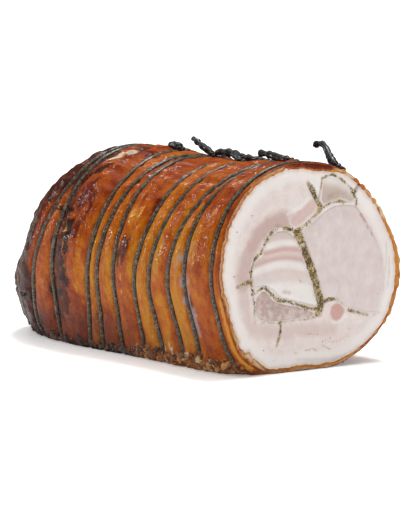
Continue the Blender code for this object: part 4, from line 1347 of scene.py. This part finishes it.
def rope(path, up, radius, closed, seed, lumpiness):
    """The rings of points of a twisted rope, and how deep each point lies between the plies."""
    line = np.vstack([path, path[:1]]) if closed else path
    length = run_of(line)[-1]
    path = spread(line, max(4, int(length / (ROPE_STEP * radius / TWINE_RADIUS))), closed)
    along = np.roll(path, -1, axis=0) - np.roll(path, 1, axis=0) if closed else np.gradient(path, axis=0)
    along /= np.linalg.norm(along, axis=1, keepdims=True)
    side = np.cross(along, up(path))
    side /= np.linalg.norm(side, axis=1, keepdims=True)
    top_way = np.cross(side, along)
    angle = np.arange(ROPE_SIDES) * TURN / ROPE_SIDES
    share = (np.arange(len(path)) / (len(path) if closed else len(path) - 1))[:, None]
    third = np.mod(angle - TURN * round(length / TWIST_LENGTH) * share, TURN / 3) - TURN / 6
    ply = np.sqrt(np.maximum(PLY_RADIUS ** 2 - (PLY_OFFSET * np.sin(third)) ** 2, 0.01))
    outline = PLY_OFFSET * np.cos(third) + ply
    size = radius * (1 + lumpiness * crag_noise(path, 3.5, seed))[:, None]
    if not closed:
        outline = 1 - TAIL_PLIES + TAIL_PLIES * outline
        size = size * (TAIL_FOOT + (TAIL_TIP - TAIL_FOOT) * share)
    spin = np.cos(angle)[:, None] * top_way[:, None] + np.sin(angle)[:, None] * side[:, None]
    rings = path[:, None] + (size * outline)[..., None] * spin
    rings = rings + 0.12 * MM * soft_noise(rings, 1.3, seed + 5)[..., None] * top_way[:, None]
    return rings, np.clip((1.02 - outline) / 0.35, 0, 1)


twine = charred_twine()
print(twine.name)

# %% [markdown]
# ## Knots and tails
# Each loop is closed with a knot on top and two cut tails. The knot is a trefoil, the simplest closed
# knot, drawn small. The tails stand up and char, so they are black, thick and lumpy with bent tips.

# %% Knots and tails
SWOLLEN_RADIUS = 2.15 * MM
SWOLLEN_LIFT = 0.55 * MM
KNOT_RADIUS = 1.35 * MM
KNOT_SIZE = 0.95 * MM
KNOT_LIFT = 3.5 * MM
TAIL_RADIUS = 2.7 * MM
SHORT_TAIL_RADIUS = 2.1 * MM
SHORT_TAIL = 9 * MM
SHORT_TAIL_TURN = 0.8
SHORT_TAIL_SINK = 1.6 * MM
# How each long tail bends: share along it, then mm along, up and aside
TAIL_BENDS = {
    1: [(0.12, (4, 0, 0)), (0.35, (4, 1, 0)), (0.7, (3, 3, 0)), (0.85, (4, 3, 0)), (1.0, (7, -1, 0))],
    2: [(0.2, (4, -1, 1)), (0.6, (6, 0.5, 0)), (1.0, (6, 1, 0))],
    4: [(0.2, (2, 1, 1)), (0.45, (4, -1, 0)), (0.75, (5, -1.5, 0)), (1.0, (6, 2, -1))],
    5: [(0.4, (0, 0.5, 1)), (0.8, (0, -2, 0)), (1.0, (0, -4, 0))],
    6: [(0.15, (3, -0.5, 0)), (0.4, (4, -3, 0)), (0.7, (4, -4, 0)), (1.0, (4, -3, 0))],
    8: [(0.5, (0, -1, 0)), (1.0, (0, -4, 0))],
}
PLAIN_BEND = [(0.5, (0, -1, -1)), (1.0, (0, 1, 1))]


def round_ends(rings):
    """Close both ends of a tube softly."""
    middle = rings.mean(axis=1, keepdims=True)
    at = np.minimum(np.arange(len(rings)), np.arange(len(rings))[::-1])
    size = np.clip(np.sqrt(np.clip(1 - (1 - at / 2.2) ** 2, 0.02, 1)), 0.15, 1)
    size[at > 2] = 1
    return middle + (rings - middle) * size[:, None, None]


def join_ropes(parts):
    """Several ropes as one list of points, faces and masks; an open one gets a fan over each end."""
    points, groups, ply_shades, burns, start = [], [], [], [], 0
    for path, up, radius, closed, seed, lumpiness, burnt_share in parts:
        # how deep each point lies between the plies is kept as painted shade
        rings, crack = rope(path, up, radius, closed, seed, lumpiness)
        count = rings.shape[0] * ROPE_SIDES
        ends = [] if closed else [(0, 1), (len(rings) - 1, -1)]
        if not closed:
            rings, crack = round_ends(rings), crack * TAIL_PLIES
        points.append(rings.reshape(-1, 3))
        groups.append(grid_faces(len(rings), ROPE_SIDES, start, ring=closed))
        for number, (ring, order) in enumerate(ends):
            points.append(rings[ring].mean(axis=0)[None])
            numbers = start + ring * ROPE_SIDES + np.arange(ROPE_SIDES)
            tip = np.full(ROPE_SIDES, start + count + number)
            groups.append(np.stack([numbers, np.roll(numbers, -1), tip], axis=-1)[:, ::order])
        ply_shades.append(np.append(crack, np.zeros(len(ends))))
        burns.append(np.full(count + len(ends), burnt_share))
        start += count + len(ends)
    return np.concatenate(points), groups, {"crack": np.concatenate(ply_shades), "burnt": np.concatenate(burns)}


def tail_way(foot, axes, length, climb, bends):
    """The way of a tail along its three axes: it leaves its knot, rises, and bends where it charred."""
    t = np.linspace(0, 1, 24)
    places = [0] + [share for share, _ in bends]
    moves = np.array([(0, 0, 0)] + [move for _, move in bends], float) * MM
    shift = [np.pad(np.interp(t, places, values), 2, "edge") for values in moves.T]
    shift = np.array([np.convolve(values, np.ones(5) / 5, "valid") for values in shift])
    shift[0] += length * t
    shift[1] += climb * np.sin(t * math.pi / 2)
    return foot + shift.T @ axes


def add_twine(number, loop):
    """One loop of twine with its knot and its two charred tails."""
    turn = np.linspace(0, TURN, 720, endpoint=False)
    path = loop_path(loop, turn) + outward(loop_place(loop, turn), turn) * SWOLLEN_LIFT
    path[:, 2] = np.maximum(path[:, 2], SWOLLEN_RADIUS + FLOOR_CLEARANCE)
    knot_angle = np.array(math.radians(loop[4]))
    s = loop_place(loop, knot_angle)
    up = outward(s, knot_angle)
    foot = roll(s, knot_angle) + up * (KNOT_LIFT + unevenness(s, knot_angle))
    back = np.array([-1.0, 0, 0])
    back = back - up * (back @ up)
    back /= np.linalg.norm(back)
    aside = np.cross(up, back)
    aside = aside if aside[2] < 0 else -aside
    t = np.linspace(0, TURN, 90, endpoint=False)[:, None]
    knot = foot + KNOT_SIZE * ((np.sin(t) + 2 * np.sin(2 * t)) * aside
                               + (np.cos(t) - 2 * np.cos(2 * t)) * back - np.sin(3 * t) * up)
    long_way = tail_way(foot, np.array([back, up, aside]), loop[5] * MM, loop[6] * MM,
                        TAIL_BENDS.get(number, PLAIN_BEND))
    across_way = aside * SHORT_TAIL_TURN - back
    across_way /= np.linalg.norm(across_way)
    short_way = tail_way(foot - up * SHORT_TAIL_SINK, np.array([across_way, up, back]), SHORT_TAIL, 0,
                         [(1.0, (0, 0, 1))])

    def from_axis(points):
        """The way from the roll's axis to each point."""
        return (points - [CUT_X, AXIS_Y, AXIS_Z]) * [0, 1, 1]

    def upright(points):
        """Away from the roll at the knot, tilted a little so that it never lies along a tail."""
        return up + 0.01

    points, groups, masks = join_ropes([
        (path, from_axis, SWOLLEN_RADIUS, True, 110 + number, 0.10, 0.0),
        (knot, upright, KNOT_RADIUS, True, 130 + number, 0.10, 0.7),
        (long_way, upright, TAIL_RADIUS, False, 150 + number, 0.3, 1.0),
        (short_way, upright, SHORT_TAIL_RADIUS, False, 170 + number, 0.2, 1.0)])
    name = "twine_%02d" % number
    return make_piece(name + "_charred", points, groups, [twine], masks, replaced=name)


loops = [add_twine(number, loop) for number, loop in enumerate(LOOPS, start=1)]
print("faces a loop:", [len(o.data.polygons) for o in loops])

# %% [markdown]
# ## Bits of herb, garlic and pepper
# The stuffing shows as thousands of bits about a millimetre across. Each bit is a small eight-sided stone
# or a thin leaf, stretched, turned and dented by a seeded draw. All bits of one kind are joined in one
# mesh, and each carries a random shade of its own.

# %% A helper for scattered bits
STONE = np.array([(1, 0, 0), (-1, 0, 0), (0, 1, 0), (0, -1, 0), (0, 0, 1), (0, 0, -1)], float)
STONE_FACES = np.array([(0, 2, 4), (2, 1, 4), (1, 3, 4), (3, 0, 4),
                        (2, 0, 5), (1, 2, 5), (3, 1, 5), (0, 3, 5)])


def random_turns(count, rng):
    """Random rotation matrices, evenly spread over all directions."""
    q = rng.normal(size=(count, 4))
    w, x, y, z = (q / np.linalg.norm(q, axis=1, keepdims=True)).T
    terms = [1 - 2 * (y * y + z * z), 2 * (x * y - z * w), 2 * (x * z + y * w),
             2 * (x * y + z * w), 1 - 2 * (x * x + z * z), 2 * (y * z - x * w),
             2 * (x * z - y * w), 2 * (y * z + x * w), 1 - 2 * (x * x + y * y)]
    return np.stack(terms, axis=-1).reshape(-1, 3, 3)


def scatter(name, places, sizes, shape, material, rng, flatten=(1, 1, 1)):
    """Small bits at places, as one joined mesh with a random shade for each bit."""
    count = len(places)
    bits = STONE * (1 + rng.uniform(-0.35, 0.35, (count, 6, 1))) * np.asarray(shape)
    bits = bits * (1 + rng.uniform(-0.3, 0.3, (count, 1, 3)))
    bits = np.einsum("nij,nkj->nki", random_turns(count, rng), bits) * flatten
    points = places[:, None] + bits * np.asarray(sizes)[:, None, None]
    faces = STONE_FACES + (np.arange(count) * 6)[:, None, None]
    masks = {"shade": np.repeat(rng.random(count), 6)}
    return make_piece(name, points.reshape(-1, 3), [faces.reshape(-1, 3)], [material], masks)


def bit_colours(name, stops, roughness, coat=0.1):
    """A material for scattered bits: each bit takes its own colour from a row of stops."""
    material, place = start_material(name, IOR=1.45, Coat_Weight=coat, Coat_Roughness=0.25)
    shade = add_node(material, "Attribute", {"attribute_name": "shade"}, output="Fac")
    colour = add_node(material, "ValToRGB", {"stops": stops}, {"Fac": shade})
    mottle = add_node(material, "TexNoise", {"Scale": 1 / (0.5 * MM), "Detail": 2.0}, {"Vector": place})
    rough = add_node(material, "MapRange", {"To Min": roughness - 0.15, "To Max": roughness + 0.15},
                     {"Value": mottle})
    bump = add_node(material, "Bump", {"Strength": 0.4, "Distance": 0.15 * MM}, {"Height": mottle})
    return dress(material, Base_Color=colour, Roughness=rough, Normal=bump)


print("a bit has", len(STONE_FACES), "faces")

# %% Bits in the stuffing
SPILL = 0.4
SPECKS = [(-75, 116), (-78, 81), (70, 56), (-60, 128), (20, 24), (-48, 20), (40, 30), (12, 22)]


def in_stuffing(count, rng, seed):
    """Random places on the stuffing where it shows in the cut, in clusters."""
    faces = net_faces[owner == NAMES.index("herb_filling")]
    corners = net_flat[faces]
    area = np.abs(np.cross(corners[:, 1] - corners[:, 0], corners[:, 2] - corners[:, 0])) / 2
    area = area * np.clip(herb_here[faces].mean(axis=1), 0, 1) ** 1.5
    area = area * (0.12 + ease(soft_noise(as_points(corners.mean(axis=1)), 3.4, seed), -0.15, 0.45))
    picked = rng.choice(len(faces), count, p=area / area.sum())
    u, v = rng.random((2, count))
    flip = u + v > 1
    u, v = np.where(flip, 1 - u, u)[:, None], np.where(flip, 1 - v, v)[:, None]
    a, b, c = corners[picked].transpose(1, 0, 2)
    flat = a + u * (b - a) + v * (c - a) + rng.normal(0, SPILL, a.shape)
    return at_depth(flat, 0, cut_relief[faces[picked]].mean(axis=1) + 0.15)


rng = np.random.default_rng(21)
leaf = bit_colours("fried_herb_leaf",
                   [(0.0, "#2a2010"), (0.35, "#4d401e"), (0.7, "#766434"), (1.0, "#988149")], 0.5)
garlic = bit_colours("garlic_and_fat_crumb",
                     [(0.0, "#9c8348"), (0.4, "#bea566"), (0.8, "#dccb9a"), (1.0, "#b08638")], 0.45, 0.2)
pepper = bit_colours("cracked_pepper", [(0.0, "#17110b"), (0.5, "#382919"), (1.0, "#634a2c")], 0.6)
# Piece, material, count, least and greatest size in mm, shape, and how flat it lies in the cut
BITS = [("herb_leaf_bits", leaf, 480, 0.7, 1.4, (1, 0.32, 0.25), 0.6),
        ("garlic_crumbs", garlic, 620, 0.5, 1.2, (1, 0.42, 0.4), 0.7),
        ("pepper_bits", pepper, 560, 0.35, 0.85, (1, 0.8, 0.7), 0.7)]
for seed, (name, material, count, least, most, shape, flat) in enumerate(BITS, start=121):
    scatter(name, in_stuffing(count, rng, seed), rng.uniform(least, most, count) * MM, shape, material,
            rng, flatten=(flat, 1, 1))
scatter("stray_pepper", at_depth(np.array(SPECKS, float), 0, 0.3), np.full(len(SPECKS), 0.6 * MM), (1, 1, 1),
        pepper, rng)
print("bits:", {name: count for name, _, count, *_ in BITS})

# %% [markdown]
# ## Crumbs of crust
# Round the foot of the roast the juices dried into a rough crust and broke into crumbs. They are bits
# again, larger and duller, and they lie on the crust from the ground up to its upper edge.

# %% Crumbs of crust
CRUMBS = 2400
TAN_UP_TO = 150 * MM

rng = np.random.default_rng(33)
foot = (crust > 0.3) & (height > -4 * MM) & (rind_points[..., 2] > 1.5 * MM) & (rind_s > 3 * MM)
picked = rng.choice(np.flatnonzero(foot.ravel()), CRUMBS)
places = rind_points.reshape(-1, 3)[picked] + rng.normal(0, 0.5 * MM, (CRUMBS, 3))
sizes = (0.4 + 1.3 * rng.random(CRUMBS) ** 2) * MM
places[:, 2] = np.maximum(places[:, 2], 2.2 * sizes)
is_tan = rind_s.ravel()[picked] + rng.normal(0, 18 * MM, CRUMBS) < TAN_UP_TO
tan_crust = bit_colours("dried_juice_crust", [(0.0, "#2c1509"), (0.3, "#6b3c18"), (0.7, "#955e28"),
                                              (0.92, "#ab7a42"), (1.0, "#bfa678")], 0.5)
dark_crust = bit_colours("burnt_juice_crust", [(0.0, "#1a0e09"), (0.5, "#402416"), (1.0, "#6e4729")], 0.55)
for name, here, material in (("tan", is_tan, tan_crust), ("dark", ~is_tan, dark_crust)):
    scatter("crust_crumbs_" + name, places[here], sizes[here], (1, 0.8, 0.6), material, rng)
print("crumbs:", [int(is_tan.sum()), int((~is_tan).sum())])

# %% [markdown]
# ## Lumps of crust and torn skin
# Along the foot of the shown side the crust has dried in lumps a few millimetres across. At the right of
# the cut the knife has torn the skin, and small tongues of it stand up from the edge. Both are dented
# ellipsoids, and each has its own three axes.

# %% Lumps of crust and torn skin
LUMP_RINGS = 8
LUMP_SIDES = 12
LEAST_LUMP = 1 * MM
# Angle on the edge of the cut, then length along the edge and height above it
TORN_SKIN = [
    (55, 6, 2.0), (49, 5, 2.6), (43, 7, 2.2), (37, 4, 3.0), (31, 5, 3.0), (25, 4, 2.0), (-8, 8, 2.2),
    (-13, 5, 2.6), (-28, 6, 2.6), (-33, 4, 2.0), (66, 5, 1.8), (130, 4, 1.6), (206, 6, 2.4), (231, 5, 2.6)]


def dented_balls(middles, frames, radii, depth, seed):
    """Ellipsoids with dents, as one list of points and faces."""
    down = np.linspace(0.02, math.pi - 0.02, LUMP_RINGS)
    turn = np.arange(LUMP_SIDES) * TURN / LUMP_SIDES
    ball = np.stack([np.outer(np.cos(down), np.ones(LUMP_SIDES)), np.outer(np.sin(down), np.cos(turn)),
                     np.outer(np.sin(down), np.sin(turn))], axis=-1).reshape(-1, 3)
    points, faces = [], []
    for number, (middle, axes, size) in enumerate(zip(middles, frames, radii)):
        start = number * len(ball)
        dents = 1 + depth * crag_noise(ball * 4 * MM + number * MM, 3.4, seed, 2)
        points.append(middle + (ball * dents[:, None] * size) @ axes)
        faces.append(grid_faces(LUMP_RINGS, LUMP_SIDES, start))
        for ring, order in ((0, -1), (LUMP_RINGS - 1, 1)):
            numbers = start + ring * LUMP_SIDES + np.arange(LUMP_SIDES)[::order]
            faces.append(np.stack([np.full(LUMP_SIDES - 2, numbers[0]), numbers[1:-1], numbers[2:]], axis=-1))
    return np.concatenate(points), faces


def add_lumps(name, start, end, count, largest, material, seed):
    """Lumps of dried juice along the foot of the shown side, between two distances behind the cut."""
    rng = np.random.default_rng(seed)
    here = (crust > 0.35) & (rind_points[..., 2] > 2.5 * MM) & (rind_s > start) & (rind_s < end)
    here &= (rind_theta > math.pi) & (rind_theta < math.radians(290))
    picked = rng.choice(np.flatnonzero(here.ravel()), count)
    radii = LEAST_LUMP + (largest - LEAST_LUMP) * rng.random(count)[:, None] ** 2
    radii = radii * rng.uniform(0.6, 1.4, (count, 3))
    middles = rind_points.reshape(-1, 3)[picked]
    middles[:, 1] += 0.4 * radii.mean(axis=1)
    middles[:, 2] = np.maximum(middles[:, 2], radii.max(axis=1) * 1.45)
    points, faces = dented_balls(middles, random_turns(count, rng), radii, 0.6, seed)
    shades = np.repeat(rng.random(count), LUMP_RINGS * LUMP_SIDES)
    return make_piece(name, points, faces, [material], {"shade": shades})


def add_torn_skin(name, seed):
    """Tongues of torn skin that stand up from the edge of the cut."""
    middles, frames, radii = [], [], []
    for angle, long_mm, tall_mm in TORN_SKIN:
        column = int(round(angle % 360 / 360 * COLUMNS)) % COLUMNS
        out = -inward[column]
        middles.append(cut_ring[column] - out * 0.5 * MM + [0.2 * MM, 0, 0])
        frames.append(np.array([np.cross([1.0, 0, 0], out), out, [1.0, 0, 0]]))
        radii.append(np.array([long_mm / 2 + 1, tall_mm / 2 + 0.6, 0.8]) * MM)
    points, faces = dented_balls(middles, frames, radii, 0.12, 141)
    gold = np.random.default_rng(seed).uniform(0.4, 1.0, len(TORN_SKIN))
    gold = np.repeat(gold, LUMP_RINGS * LUMP_SIDES)
    masks = {"warm": np.full(gold.shape, 0.5), "gold": gold}
    return make_piece(name, points, faces, [rind], masks)


crust_lumps = add_lumps("crust_lumps_tan", 4 * MM, 135 * MM, 300, 3.4 * MM, tan_crust, 131)
burnt_lumps = add_lumps("crust_lumps_burnt", 110 * MM, 250 * MM, 170, 3 * MM, dark_crust, 132)
torn_skin = add_torn_skin("torn_skin", 44)
print("faces of lumps and skin:", [len(o.data.polygons) for o in (crust_lumps, burnt_lumps, torn_skin)])
